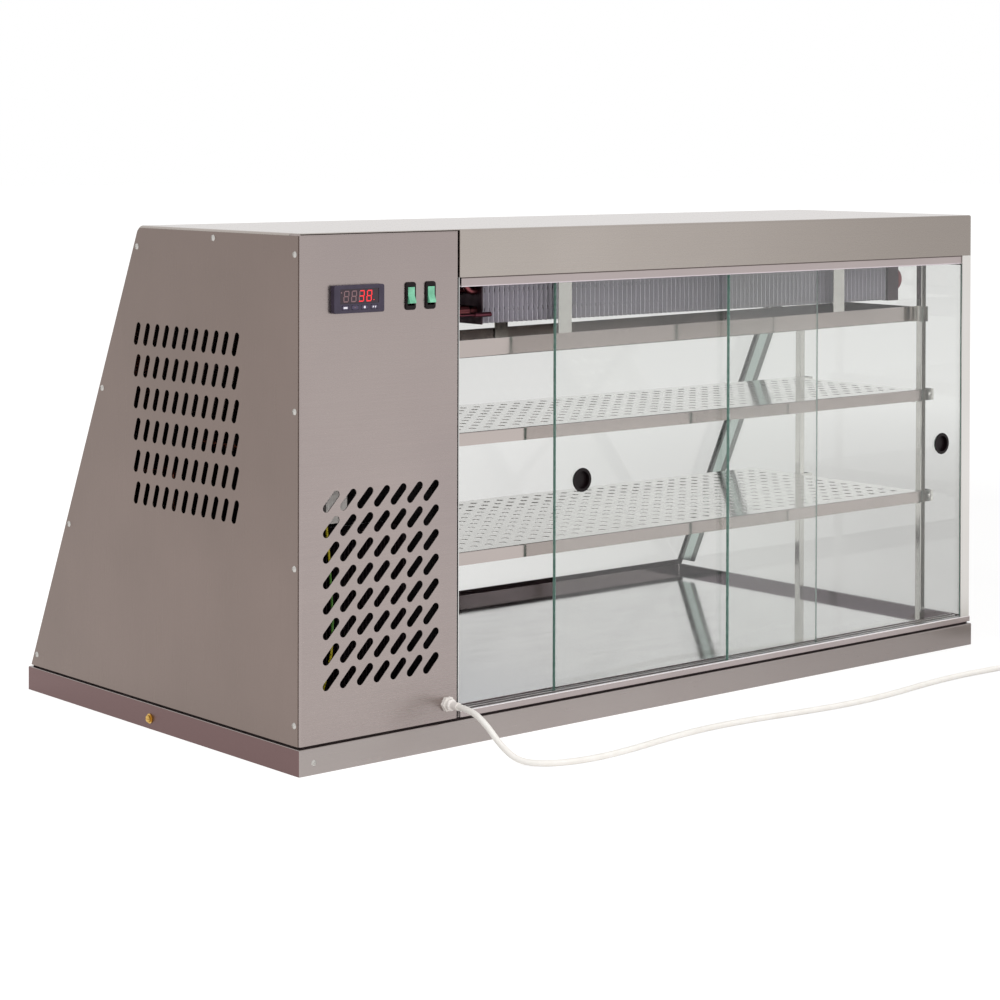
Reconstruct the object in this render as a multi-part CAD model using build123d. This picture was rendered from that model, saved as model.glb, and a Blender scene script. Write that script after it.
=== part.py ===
from build123d import *
from math import atan, atan2, cos, degrees, hypot, pi, radians, sin, tan
import os

# Refrigerated countertop display case, free-standing, doors on the operator's side (-Y).
# Everything is measured from the case's left front bottom corner: X along the length,
# Y towards the back, Z up. place() moves it to the origin, the middle of the case's underside.

# Whole case
case_length = 1180.0
case_depth = 600.0
case_height = 612.0
roof_depth = 341.0
base_height = 30.3

# Sheet metal
sheet = 1.2
fold_radius = 3.0
return_depth = 20.0
roof_corner_radius = 12.0
fit_gap = 0.1
glass = 5.0

# Upper body on the base
gasket_height = 2.4
gasket_setback = 3.4
gasket_width = 11.0
front_inset = 3.6
left_inset = 2.2
compartment_width = 234.0
seam = 2.5
fascia_height = 57.3
skirt_extra = 14.5
rear_fascia_height = 54.0
ceiling_drop = 36.2
partition_foam = 22.0

# Door tracks and doors
track_width = 22.4
lower_track_height = 8.0
upper_track_drop = 11.7
groove_width = 6.5
groove_depth = 6.0
upper_groove_depth = 17.0
outer_door_front = 3.4
door_spacing = 9.0
door_width = 471.0
door_top_play = 8.0
door_bottom_play = 0.3
post_width = 18.2
post_wall = 1.5
post_depth = 14.0
door_in_post = 4.0
inner_door_opened = 160.0
door_stop_gap = 1.5
door_edge = 0.4
track_edge = 0.8
cup_diameter = 30.0
cup_body_diameter = 26.0
cup_well_diameter = 22.0
cup_flange = 1.2
cup_from_edge = 44.0
inner_cup_height = 296.0
outer_cup_height = 290.5

# Glass at the right and the back
side_glass_inset = 5.0
channel_wall = 2.5
channel_height = 8.0
rear_channel_height = 16.0
rear_glass_inset = 1.8
corner_side_leg = 31.0
corner_rear_leg = 5.0
corner_thickness = 1.5

# Inner tray, shelf posts and shelves
tray_rim_top = 42.0
tray_front_gap = 1.0
post_tube = 10.0
post_tube_wall = 1.0
post_gap_to_glass = 38.5
shelf_front = 46.0
upper_shelf_depth = 247.0
lower_shelf_depth = 334.0
shelf_flange = 16.0
shelf_sheet = 0.8
upper_shelf_drop = 211.8
shelf_spacing = 144.5
shelf_clear = 2.0
rail_leg = 14.0
rail_thickness = 1.5
rail_below_top = 3.0
hole_diameter = 9.5
hole_pitch_x = 23.5
hole_pitch_y = 23.5
hole_margin = 18.0
clamp_reach = 15.0
clamp_sheet = 1.6
pan_clip_reach = 9.0

# Evaporator and drip pan under the roof
fin_pitch = 8.0
fin_thickness = 0.5
fin_left = 338.5
fins_right_clear = 92.0
coil_front = 82.0
coil_depth = 96.0
coil_drop = 84.8
coil_height = 80.0
tube_diameter = 9.5
tube_rows = 3
tube_columns = 4
tube_pitch = 24.0
end_plate = 1.5
end_plate_gap = 2.5
end_plate_foot = 13.0
end_plate_front = 22.0
pan_front = 60.0
pan_depth = 125.0
pan_height = 21.5
pan_left = 245.0
pan_right_clear = 64.0
pan_wall = 1.0
pan_drop = 123.8
pan_fall = 8.3
strap_width = 22.0
strap_thickness = 1.5
strap_from_pan_left = 197.0
strap_from_pan_right = 165.0
strap_into_pan = 14.0
drain_diameter = 12.0
left_tube_overhang = 8.0
right_tube_overhang = 30.0
accumulator_diameter = 13.0
accumulator_length = 64.0
accumulator_end = 327.0
pipe_reach = 24.0
probe_diameter = 6.0
probe_length = 26.0
lead_diameter = 3.0
lamp_width = 18.0
lamp_height = 12.0
lamp_front = 240.0

# Screws
screw_shank = 4.0
screw_hole = 4.3
screw_head = 7.6
screw_head_height = 2.2
side_screw_rows = 4
side_screw_low = 23.0
side_screw_high = 24.0
side_screw_front = 13.0
side_screw_back = 10.0
back_screws_lower = (8.0, 2.0)
top_screw = (176.0, 10.4)
base_screw = (20.7, 13.3)
clamp_screw_length = 6.0

# Front grille and side slots
front_slot = (19.9, 9.6, 46.0)
front_slot_columns = 7
front_slot_rows = 8
front_slot_pitch = (24.3, 29.0)
front_slots_from_middle = 70.0
front_slots_top = 306.5
side_slot = (20.1, 9.0, 108.3)
side_slot_columns = 11
side_slot_rows = 6
side_slot_pitch = (21.1, 39.0)
side_slots_front = 129.7
side_slots_drop = 132.6

# Controller and switches
control_drop = 76.2
controller_left = 46.2
controller_width = 72.0
controller_height = 32.0
controller_proud = 6.5
controller_body = (69.0, 28.5, 52.0)
controller_corner = 2.5
controller_edge = 1.0
window_size = (55.4, 16.8)
window_lift = 3.2
window_sunk = 0.5
window_thickness = 0.9
window_recess = 1.5
key_size = (9.0, 4.6)
key_count = 4
key_start = 15.6
key_pitch = 13.7
key_drop = 9.6
key_proud = 0.3
key_thickness = 1.5
key_travel = 0.6
key_gap = 0.25
key_behind = 0.3
key_corner = 1.6
switch_centres = (160.6, 190.2)
switch_bezel = (15.0, 32.5)
switch_corner = 3.5
switch_edge = 0.8
switch_well_behind_pivot = 6.0
switch_proud = 2.2
switch_body = (12.8, 29.6, 24.0)
rocker_width = 9.6
rocker_length = 19.5
rocker_gap = 0.4
rocker_end_gap = 1.4
rocker_angle = 11.0
rocker_waist = 4.0
rocker_pivot_depth = 3.3
rocker_belly = 3.2
rocker_back_share = 0.92
rocker_edge = 0.8

# Mains cord
cord_diameter = 7.4
gland_from_seam = 17.0
gland_z = 52.0
gland_hex = 16.0
gland_thread = 12.0
gland_nose = 18.0
gland_hex_length = 5.0
gland_dome_length = 6.0
gland_dome_edge = 2.0
gland_thread_length = 8.0
gland_nut_length = 4.0
gland_shoulder = 3.2
gland_nose_wall = 0.9
coil_centre = (1240.0, -94.1)
coil_inner_radius = 36.3
coil_gap = 0.6
coil_turns_in = 2.0
coil_turns_out = 1.25
coil_tail = 25.0
plug_width = 36.0
plug_thickness = 26.0
plug_length = 34.0
plug_corner = 8.0
plug_back_edge = 5.0
relief_length = 25.0
relief_walls = (1.0, 4.0)
pin_diameter = 4.8
pin_length = 19.0
pin_spacing = 19.0
pin_shank = 4.0
pin_neck = 0.5
pin_in_plug = 8.0
pin_tip_radius = 1.2

# Condensing unit in the machine compartment
compressor_left_of_middle = 7.0
compressor_from_back = 205.0
compressor_diameter = 148.0
compressor_body_height = 165.0
compressor_plate = 3.0
compressor_dome = 46.0
compressor_plate_margin = 14.0
compressor_plate_corner = 10.0
terminal_box = (52.0, 34.0, 50.0)
terminal_box_proud = 22.0
terminal_box_rise = 50.0
terminal_box_corner = 5.0
foot_height = 14.0
foot_diameter = 20.0
foot_edge = 2.0
foot_stem = 8.0
foot_stem_height = 6.0
foot_spacing = (110.0, 130.0)
condenser_front = 48.0
condenser_depth = 38.0
condenser_bottom = 62.0
condenser_height = 200.0
condenser_left = 28.0
condenser_right_clear = 46.0
condenser_fins = 28
condenser_end_margin = 8.0
condenser_overhang = 4.0
bracket_sheet = 1.5
condenser_tube = 8.0
condenser_tube_pitch = 25.0
bar_height = 45.0
bar_above = 12.0
bar_width = 67.0
shroud_ring = 150.0
shroud_depth = 32.0
fan_diameter = 140.0
fan_blades = 5
fan_pitch = 28.0
fan_behind_shroud = 6.0
blade_width = 40.0
blade_sheet = 1.6
hub_diameter = 44.0
hub_length = 18.0
hub_edge = 4.0
shaft_reach = 30.0
fan_shaft = 5.0
shaft_gap = 0.05
motor_diameter = 60.0
motor_length = 48.0
motor_edge = 5.0
motor_behind_hub = 3.0
motor_arms = 4
motor_arm = (10.0, 2.5)
motor_bore_depth = 31.0
drier_diameter = 19.0
drier_length = 80.0
drier_y = 220.0
drier_edge = 6.0
discharge_tube = 6.0
suction_tube = 8.0
liquid_tube = 4.0
pipes_over_fan = 40.0
terminal_left = 60.0
terminal_proud = 17.0
terminal_size = (30.0, 41.0)
terminal_entry = 4.6
terminal_pitch = 9.0
earth_wire_diameter = 3.0
earth_screw_place = (308.0, 12.8)
earth_screw_diameter = 5.0
earth_screw_head = 8.6
earth_head_height = 3.2
earth_screw_length = 12.0
earth_washer = (12.0, 1.2)
earth_nut = (4.6, 4.0)


def block(x0, x1, y0, y1, z0, z1):
    """A box between two corners."""
    size = (x1 - x0, y1 - y0, z1 - z0)
    return Pos(x0, y0, z0) * Box(*size, align=(Align.MIN, Align.MIN, Align.MIN))


def rod_x(x0, x1, y, z, diameter):
    """A round bar along X."""
    bar = Cylinder(diameter / 2, x1 - x0, align=(Align.CENTER, Align.CENTER, Align.MIN))
    return Pos(x0, y, z) * Rot(0, 90, 0) * bar


def rod_y(x, y0, y1, z, diameter):
    """A round bar along Y."""
    bar = Cylinder(diameter / 2, y1 - y0, align=(Align.CENTER, Align.CENTER, Align.MIN))
    return Pos(x, y0, z) * Rot(-90, 0, 0) * bar


def rod_z(x, y, z0, z1, diameter):
    """A round bar along Z."""
    bar = Cylinder(diameter / 2, z1 - z0, align=(Align.CENTER, Align.CENTER, Align.MIN))
    return Pos(x, y, z0) * bar


def rear_y(z):
    """Where the sloped back of the case is at a height."""
    lean = (case_depth - roof_depth) / (case_height - base_height)
    return case_depth - (z - base_height) * lean


slope_angle = degrees(atan((case_depth - roof_depth) / (case_height - base_height)))
slope_direction = Vector(0, -sin(radians(slope_angle)), cos(radians(slope_angle)))
ceiling_height = case_height - ceiling_drop
body_bottom = base_height + gasket_height
display_left = compartment_width + seam
canopy_bottom = case_height - fascia_height
track_front = front_inset + sheet + 0.6
lower_track_top = body_bottom + lower_track_height
groove_floor = lower_track_top - groove_depth
upper_track_bottom = canopy_bottom - upper_track_drop
door_bottom = groove_floor + door_bottom_play
door_top = upper_track_bottom + upper_groove_depth - door_top_play
outer_door_y = front_inset + outer_door_front
inner_door_y = outer_door_y + door_spacing
post_left = case_length - sheet - fit_gap - post_width
post_back = front_inset + post_depth
outer_door_right = post_left + door_in_post
outer_door_left = outer_door_right - door_width
inner_door_left = display_left + sheet + door_stop_gap + inner_door_opened
track_back = front_inset + track_width
side_glass_right = case_length - side_glass_inset
side_glass_left = side_glass_right - glass
tube_post_left = side_glass_left - post_gap_to_glass - post_tube
tray_floor_top = base_height + sheet
upper_shelf_top = ceiling_height - upper_shelf_drop
lower_shelf_top = upper_shelf_top - shelf_spacing
coil_bottom = ceiling_height - coil_drop
fin_count = int((case_length - fins_right_clear - fin_left) // fin_pitch) + 1
pan_length = case_length - pan_right_clear - pan_left
pan_bottom_left = ceiling_height - pan_drop
control_height = case_height - control_drop
gland_x = compartment_width - gland_from_seam
condenser_width = compartment_width - condenser_left - condenser_right_clear
compressor_centre = (compartment_width / 2 - compressor_left_of_middle, case_depth - compressor_from_back)
pipes_meet_x = display_left - partition_foam - pipe_reach


def side_prism(x0, x1, points):
    """A plate or block whose outline is drawn in the Y-Z plane."""
    return extrude(Plane.YZ.offset(x0) * Polygon(*points, align=None), x1 - x0, dir=(1, 0, 0))


def slope_strip(x0, x1, z0, z1, near, far):
    """A strip along the sloped back, between two depths measured level into the case."""
    points = (
        (rear_y(z0) - far, z0),
        (rear_y(z0) - near, z0),
        (rear_y(z1) - near, z1),
        (rear_y(z1) - far, z1),
    )
    return side_prism(x0, x1, points)


def level(thickness):
    """A thickness square to the slope, measured level."""
    return thickness / cos(radians(slope_angle))


def pipe(points, diameter, radius):
    """A bent round tube or wire, solid, along straight runs and arcs of one radius."""
    path = FilletPolyline(*points, radius=radius)
    section = Plane(origin=path @ 0, z_dir=path % 0) * Circle(diameter / 2)
    return sweep(section, path=path)


def pan_head_screw(shank_length):
    """A domed screw with a cross recess, head up, shank down from its seat at the origin."""
    radius = screw_head / 2
    dome_radius = (radius**2 + screw_head_height**2) / (2 * screw_head_height)
    dome = Pos(0, 0, screw_head_height - dome_radius) * Sphere(dome_radius)
    head = dome & Cylinder(radius, screw_head_height, align=(Align.CENTER, Align.CENTER, Align.MIN))
    recess_depth = screw_head_height * 0.5
    for turn in (0, 90):
        bar = Box(screw_head * 0.55, 1.0, recess_depth)
        head -= Pos(0, 0, screw_head_height - recess_depth * 0.4) * Rot(0, 0, turn) * bar
    shank = Cylinder(screw_shank / 2, shank_length, align=(Align.CENTER, Align.CENTER, Align.MAX))
    return head + shank


def side_screw_places():
    """Screws of the left side panel: front edge, sloped edge and top, as Y and Z."""
    places = []
    low = body_bottom + side_screw_low
    high = case_height - side_screw_high
    for row in range(side_screw_rows):
        share = row / (side_screw_rows - 1)
        z = low + share * (high - low)
        places.append((side_screw_front, z))
        first, last = back_screws_lower
        z -= first + share * (last - first)
        places.append((rear_y(z) - level(side_screw_back), z))
    places.append((top_screw[0], case_height - top_screw[1]))
    return places


def side_screw_holes():
    """Clearance holes through the side panel and the folds behind it."""
    holes = []
    for y, z in side_screw_places():
        holes.append(rod_x(0, left_inset + 3 * sheet + 1, y, z, screw_hole))
    return holes


def make_base_plinth():
    """Folded steel plinth: deck and four walls, open below."""
    outer = block(0, case_length, 0, case_depth, 0, base_height)
    upper = outer.edges().group_by(Axis.Z)[-1]
    outer = fillet(upper + outer.edges().filter_by(Axis.Z), fold_radius / 2)
    hollow = block(sheet, case_length - sheet, sheet, case_depth - sheet, -1, base_height - sheet)
    plinth = outer - hollow
    x, z = base_screw
    plinth -= rod_y(x, -1, sheet + 1, z, screw_hole)
    y, z = earth_screw_place
    return plinth - rod_x(-1, sheet + 1, y, z, earth_screw_diameter + 2 * fit_gap)


def make_base_underplate():
    """Bottom sheet inside the plinth's walls: the face that the case rests on."""
    edge = sheet + fit_gap
    return block(edge, case_length - edge, edge, case_depth - edge, 0, sheet)


def make_foam_insulation():
    """Rigid foam in the base, in the partition and over the ceiling."""
    clear = 15.0
    base = block(clear, case_length - clear, clear, case_depth - clear, sheet, base_height - sheet)
    foam_left = compartment_width - partition_foam
    top = ceiling_height
    front = front_inset + return_depth + 2
    back = level(4.0)
    points = (
        (front, body_bottom),
        (rear_y(body_bottom) - back - return_depth, body_bottom),
        (rear_y(top) - back - return_depth, top),
        (front, top),
    )
    partition = side_prism(foam_left, display_left - fit_gap, points)
    for hole in partition_holes():
        partition -= hole
    roof_z0 = ceiling_height + sheet
    roof_z1 = case_height - sheet - fit_gap
    edge = fold_radius + fit_gap
    points = (
        (front_inset + edge, roof_z0),
        (rear_y(roof_z0) - level(edge), roof_z0),
        (rear_y(roof_z1) - level(edge) - roof_corner_radius, roof_z1),
        (front_inset + edge, roof_z1),
    )
    roof = side_prism(display_left + edge, case_length - edge, points)
    return [base, partition, roof]


def make_base_gasket():
    """Dark sealing strip between the base and the upper body, all the way round."""
    x0 = left_inset + gasket_setback
    x1 = case_length - left_inset
    y0 = front_inset + gasket_setback
    y1 = rear_y(body_bottom) - gasket_setback
    ring = block(x0, x1, y0, y1, base_height, body_bottom)
    inner = (x0 + gasket_width, x1 - gasket_width, y0 + gasket_width, y1 - gasket_width)
    return ring - block(*inner, base_height - 1, body_bottom + 1)


def make_inner_tray():
    """Shallow steel tray that floors the display space."""
    x0 = display_left + sheet + fit_gap
    x1 = case_length - left_inset - gasket_width - fit_gap
    y0 = track_back + tray_front_gap
    y1 = rear_y(tray_rim_top) - level(rear_glass_inset + glass + 2 * channel_wall) - fit_gap
    outer = block(x0, x1, y0, y1, base_height, tray_rim_top)
    outer = fillet(outer.edges().filter_by(Axis.Z), fold_radius)
    well = block(x0 + sheet, x1 - sheet, y0 + sheet, y1 - sheet, tray_floor_top, tray_rim_top + 1)
    well = fillet(well.edges().filter_by(Axis.Z), fold_radius - sheet)
    return outer - well


def folded_panel(width, height, depth, top_fold):
    """A sheet facing -Y with returns folded back at both sides, and at the top if asked."""
    outer = block(0, width, 0, depth, 0, height)
    edges = outer.edges().filter_by(Axis.Z).group_by(Axis.Y)[0]
    if top_fold:
        edges += outer.edges().filter_by(Axis.X).group_by(Axis.Y)[0].sort_by(Axis.Z)[-1:]
    outer = fillet(edges, fold_radius)
    inner_top = height - sheet if top_fold else height + 1
    inner = block(sheet, width - sheet, sheet, depth + 1, -1, inner_top)
    edges = inner.edges().filter_by(Axis.Z).group_by(Axis.Y)[0]
    if top_fold:
        edges += inner.edges().filter_by(Axis.X).group_by(Axis.Y)[0].sort_by(Axis.Z)[-1:]
    return outer - fillet(edges, fold_radius - sheet)


def slot_grid(plane, slot, start, pitch, columns, rows):
    """Slots in rows that go down from a start place."""
    length, width, angle = slot
    places = []
    for row in range(rows):
        for column in range(columns):
            places.append((start[0] + column * pitch[0], start[1] - row * pitch[1]))
    shape = SlotCenterToCenter(length, width, rotation=angle)
    sketch = Sketch() + [plane * Pos(u, v) * shape for u, v in places]
    return extrude(sketch, 2 * sheet, both=True)


def make_compartment_front_panel():
    """Front of the machine compartment with its grille and the cut-outs for the controls."""
    left = left_inset + sheet + fit_gap
    height = case_height - sheet - fit_gap - body_bottom
    panel = folded_panel(compartment_width - left, height, return_depth, True)
    panel = Pos(left, front_inset, body_bottom) * panel
    face = Plane.XZ.offset(-front_inset)
    start = (compartment_width / 2 - front_slots_from_middle, front_slots_top)
    panel -= slot_grid(
        face, front_slot, start, front_slot_pitch,
        front_slot_columns, front_slot_rows,
    )
    centre_x = controller_left + controller_width / 2
    width, height, _ = controller_body
    panel -= cut_out(centre_x, width + 2 * fit_gap, height + 2 * fit_gap)
    for x in switch_centres:
        panel -= cut_out(x, switch_body[0] + 2 * fit_gap, switch_body[1] + 2 * fit_gap)
    panel -= rod_y(gland_x, front_inset - 1, front_inset + sheet + 1, gland_z, gland_thread + 2 * fit_gap)
    return panel - side_screw_holes()


def cut_out(x, width, height):
    """A rectangular hole in the front panel at the height of the controls."""
    z = control_height
    y = front_inset
    return block(x - width / 2, x + width / 2, y - 1, y + sheet + 1, z - height / 2, z + height / 2)


def make_compartment_back_panel():
    """Sloped back of the machine compartment, with its side returns."""
    left = left_inset + sheet + fit_gap
    top = case_height - rear_fascia_height - fit_gap
    depth = level(return_depth)
    outer = slope_strip(left, compartment_width, body_bottom, top, 0, depth)
    long_edges = outer.edges().filter_by(Axis((0, 0, 0), slope_direction)).sort_by(Axis.Y)[-2:]
    outer = fillet(long_edges, fold_radius)
    inner = slope_strip(
        left + sheet, compartment_width - sheet, body_bottom - 5, top + 5, level(sheet), depth + 10
    )
    return outer - inner - side_screw_holes()


def make_left_side_panel():
    """Left side of the machine compartment with its slots."""
    front = front_inset + fold_radius + fit_gap
    top = case_height - fold_radius - fit_gap
    inset = level(fold_radius + fit_gap)
    points = (
        (front, body_bottom),
        (rear_y(body_bottom) - inset, body_bottom),
        (rear_y(top) - inset, top),
        (front, top),
    )
    panel = side_prism(left_inset, left_inset + sheet, points)
    top_rear = panel.edges().filter_by(Axis.X).group_by(Axis.Z)[-1].sort_by(Axis.Y)[-1]
    panel = fillet(top_rear, roof_corner_radius - fold_radius)
    start = (side_slots_front, case_height - side_slots_drop)
    panel -= slot_grid(
        Plane.YZ.offset(left_inset), side_slot, start, side_slot_pitch,
        side_slot_columns, side_slot_rows,
    )
    return panel - side_screw_holes()


def make_partition_liner():
    """Steel wall at the left of the display space."""
    top = ceiling_height - fit_gap
    front = front_inset + fold_radius + fit_gap
    inset = level(sheet + fit_gap)
    points = (
        (front, body_bottom),
        (rear_y(body_bottom) - inset, body_bottom),
        (rear_y(top) - inset, top),
        (front, top),
    )
    liner = side_prism(display_left, display_left + sheet, points)
    return liner - partition_holes()


def roof_profile(bottom, front, top, inset):
    """Outline of the roof seen from the side."""
    return (
        (front, bottom),
        (rear_y(bottom) - inset, bottom),
        (rear_y(top) - inset, top),
        (front, top),
    )


def rounded_roof(x0, x1, bottom, front, top, inset, radius, corner, whole_end, front_ends):
    """A closed block of roof. Rounded: the front fold, one whole end, and front edges of others."""
    prism = side_prism(x0, x1, roof_profile(bottom, front, top, inset))
    rear_edge = prism.edges().filter_by(Axis.X).group_by(Axis.Z)[-1].sort_by(Axis.Y)[-1]
    prism = fillet(rear_edge, corner)
    front_edges = prism.edges().filter_by_position(Axis.Y, front - 0.1, front + 0.1)
    chosen = front_edges.filter_by(Axis.X).sort_by(Axis.Z)[-1:]
    for x in front_ends:
        chosen += front_edges.filter_by(Axis.Z).filter_by_position(Axis.X, x - 0.1, x + 0.1)
    end_edges = prism.edges().filter_by_position(Axis.X, whole_end - 0.1, whole_end + 0.1)
    chosen += end_edges.sort_by(Axis.Z)[1:]
    return fillet(chosen, radius)


def make_canopy():
    """Roof over the display: fascia, skirt at the right, folds at the left and the back."""
    skirt_bottom = canopy_bottom - skirt_extra
    rear_bottom = case_height - rear_fascia_height
    inside = case_length - sheet
    inner_left = display_left + sheet
    canopy = rounded_roof(
        display_left, case_length, skirt_bottom, front_inset, case_height, 0,
        fold_radius, roof_corner_radius, case_length, (display_left,),
    )
    canopy -= rounded_roof(
        inner_left, inside, skirt_bottom - 5, front_inset + sheet, case_height - sheet, level(sheet),
        fold_radius - sheet, roof_corner_radius - sheet, inside, (inner_left,),
    )
    middle = case_depth / 2
    canopy -= block(display_left - 1, inside, 0, middle, skirt_bottom - 1, canopy_bottom)
    canopy -= block(display_left - 1, inside, middle, case_depth, skirt_bottom - 1, rear_bottom)
    front = front_inset + fold_radius
    points = (
        (front, skirt_bottom - 1),
        (rear_y(skirt_bottom - 1) - level(sheet), skirt_bottom - 1),
        (rear_y(ceiling_height) - level(sheet), ceiling_height),
        (front, ceiling_height),
    )
    return canopy - side_prism(display_left - 1, display_left + fold_radius, points)


def make_compartment_cover():
    """Roof over the machine compartment, joined to the canopy, with a fold down at the left."""
    rear_bottom = case_height - rear_fascia_height
    left = left_inset + sheet + fit_gap
    lip = case_height - sheet
    cover = rounded_roof(
        left, display_left, rear_bottom, front_inset, case_height, 0,
        fold_radius, roof_corner_radius, left, (),
    )
    cover -= rounded_roof(
        left + sheet, display_left + 1, rear_bottom - 5, front_inset + sheet, lip, level(sheet),
        fold_radius - sheet, roof_corner_radius - sheet, left + sheet, (),
    )
    cover -= block(left - 1, display_left + 1, 0, front_inset + fold_radius, 0, lip)
    cover -= block(left - 1, left + fold_radius, 0, front_inset + return_depth + 1, 0, lip)
    low = case_height - return_depth
    fold = level(return_depth)
    points = ((0, 0), (rear_y(0) - fold, 0), (rear_y(low) - fold, low), (0, low))
    return cover - side_prism(left - 1, left + fold_radius, points)


def make_roof():
    """Canopy and compartment cover, one continuous sheet on top."""
    return make_canopy() + make_compartment_cover() - side_screw_holes()


def make_ceiling_liner():
    """Steel ceiling of the display space."""
    edge = fold_radius + fit_gap
    x0 = display_left + sheet + fit_gap
    x1 = case_length - edge
    y0 = front_inset + edge
    y1 = rear_y(ceiling_height + sheet) - level(edge)
    return block(x0, x1, y0, y1, ceiling_height, ceiling_height + sheet)


def door_grooves(x0, x1, z0, z1):
    """The two slots that the doors run in."""
    side = (groove_width - glass) / 2
    slots = []
    for y in (outer_door_y, inner_door_y):
        slots.append(block(x0, x1, y - side, y + glass + side, z0, z1))
    return slots


def make_lower_door_track():
    """Aluminium sill with one groove for each door."""
    x0 = display_left + sheet + fit_gap
    sill = block(x0, case_length, front_inset, track_back, body_bottom, lower_track_top)
    sill = fillet(sill.edges().filter_by(Axis.X).group_by(Axis.Z)[-1], track_edge)
    notch = side_glass_left - channel_wall - fit_gap
    sill -= block(notch, case_length + 1, post_back, track_back + 1, 0, lower_track_top + 1)
    return sill - door_grooves(x0 - 1, case_length + 1, groove_floor, lower_track_top + 1)


def make_upper_door_track():
    """Aluminium head track, behind the fascia and just below it, up to the ceiling."""
    x0 = display_left + fold_radius + fit_gap
    x1 = post_left - fit_gap
    track = block(x0, x1, track_front, track_back, upper_track_bottom, ceiling_height)
    track = fillet(track.edges().filter_by(Axis.X).group_by(Axis.Z)[0], track_edge)
    top = upper_track_bottom + upper_groove_depth
    track -= door_grooves(x0 - 1, x1 + 1, upper_track_bottom - 1, top)
    hollow = (x0 - 1, x1 + 1, track_front + sheet, track_back - sheet, top + sheet, ceiling_height - sheet)
    return track - block(*hollow)


def make_right_post():
    """Angle at the right of the doorway, its front leg over the doors' ends."""
    right = post_left + post_width
    bottom = lower_track_top
    top = canopy_bottom - fit_gap
    post = block(post_left, right, front_inset, post_back, bottom, top)
    post = fillet(post.edges().filter_by(Axis.Z).group_by(Axis.Y)[0], track_edge)
    inside = (front_inset + post_wall, post_back + 1)
    return post - block(post_left - 1, right - post_wall, *inside, bottom - 1, top + 1)


def make_side_glass():
    """Right-hand pane, cut to the slope of the back."""
    bottom = body_bottom + channel_wall
    top = ceiling_height - fit_gap
    front = post_back + fit_gap
    back = level(rear_glass_inset)
    points = (
        (front, bottom),
        (rear_y(bottom) - back, bottom),
        (rear_y(top) - back, top),
        (front, top),
    )
    return side_prism(side_glass_left, side_glass_right, points)


def make_rear_glass():
    """Sloped pane on the customers' side."""
    near = level(rear_glass_inset)
    far = level(rear_glass_inset + glass)
    left = display_left + sheet + fit_gap
    bottom = body_bottom + channel_wall
    right = side_glass_left - fit_gap
    return slope_strip(left, right, bottom, ceiling_height - fit_gap, near, far)


def make_glass_channels():
    """Dark channels that carry the right pane and the rear pane."""
    x0 = side_glass_left - channel_wall
    x1 = side_glass_right + channel_wall
    z1 = body_bottom + rear_channel_height
    near = level(rear_glass_inset - fit_gap)
    far = level(rear_glass_inset + glass + fit_gap)
    inner = far + level(channel_wall)
    front = post_back + fit_gap
    floor = body_bottom + channel_wall
    slot = (side_glass_left - fit_gap, side_glass_right + fit_gap)
    side_end = rear_y(z1) - inner - fit_gap
    side = block(x0, x1, front, side_end, body_bottom, body_bottom + channel_height)
    side -= block(*slot, 0, case_depth, floor, case_height)
    rear = slope_strip(display_left + sheet + fit_gap, x1, body_bottom, z1, 0, inner)
    rear -= slope_strip(display_left, slot[1], floor, z1 + 1, near, far)
    rear -= slope_strip(*slot, floor, z1 + 1, near, inner + 1)
    return [side, rear]


def make_corner_profile():
    """Angle along the corner of the right pane and the rear pane."""
    bottom = body_bottom + rear_channel_height + fit_gap
    top = ceiling_height - fit_gap
    right = side_glass_left - fit_gap
    near = level(rear_glass_inset + glass + fit_gap)
    far = near + level(corner_side_leg)
    left = right - corner_rear_leg
    outer = slope_strip(left, right, bottom, top, near, far)
    inner = slope_strip(
        left - 1, right - corner_thickness, bottom - 1, top + 1, near + level(corner_thickness), far + 2
    )
    return outer - inner


def make_door(left, y, cup_x, cup_height):
    """A sliding pane with the hole for its finger cup."""
    pane = block(left, left + door_width, y, y + glass, door_bottom, door_top)
    pane = chamfer(pane.edges().filter_by(Axis.Z), door_edge)
    return pane - rod_y(cup_x, y - 1, y + glass + 1, cup_height, cup_body_diameter + 2 * fit_gap)


def make_finger_cup(x, y, cup_height):
    """A round flush pull: a flange on the pane's front and a blind well."""
    flange = rod_y(x, y - cup_flange, y, cup_height, cup_diameter)
    flange = fillet(flange.edges().group_by(Axis.Y)[0], cup_flange * 0.7)
    body = rod_y(x, y, y + glass + cup_flange / 2, cup_height, cup_body_diameter)
    well = rod_y(x, y - cup_flange - 1, y + glass - cup_flange, cup_height, cup_well_diameter)
    return flange + body - well


def make_shelf_posts():
    """Two upright square tubes that carry the shelves' right ends."""
    posts = []
    for y in shelf_post_places():
        x = tube_post_left
        top = ceiling_height - fit_gap
        tube = block(x, x + post_tube, y, y + post_tube, tray_floor_top, top)
        tube = fillet(tube.edges().filter_by(Axis.Z), 1.0)
        wall = post_tube_wall
        bore = block(x + wall, x + post_tube - wall, y + wall, y + post_tube - wall, 0, case_height)
        posts.append(tube - bore)
    return posts


def shelf_post_places():
    """Front faces of the two shelf posts."""
    front = shelf_front + shelf_clear
    return (front, shelf_front + upper_shelf_depth - post_tube)


def shelf_ends():
    """Left and right ends of a shelf, clear of its rails."""
    left = display_left + sheet + fit_gap + rail_thickness + fit_gap
    right = tube_post_left - fit_gap - rail_thickness - fit_gap
    return left, right


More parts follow.
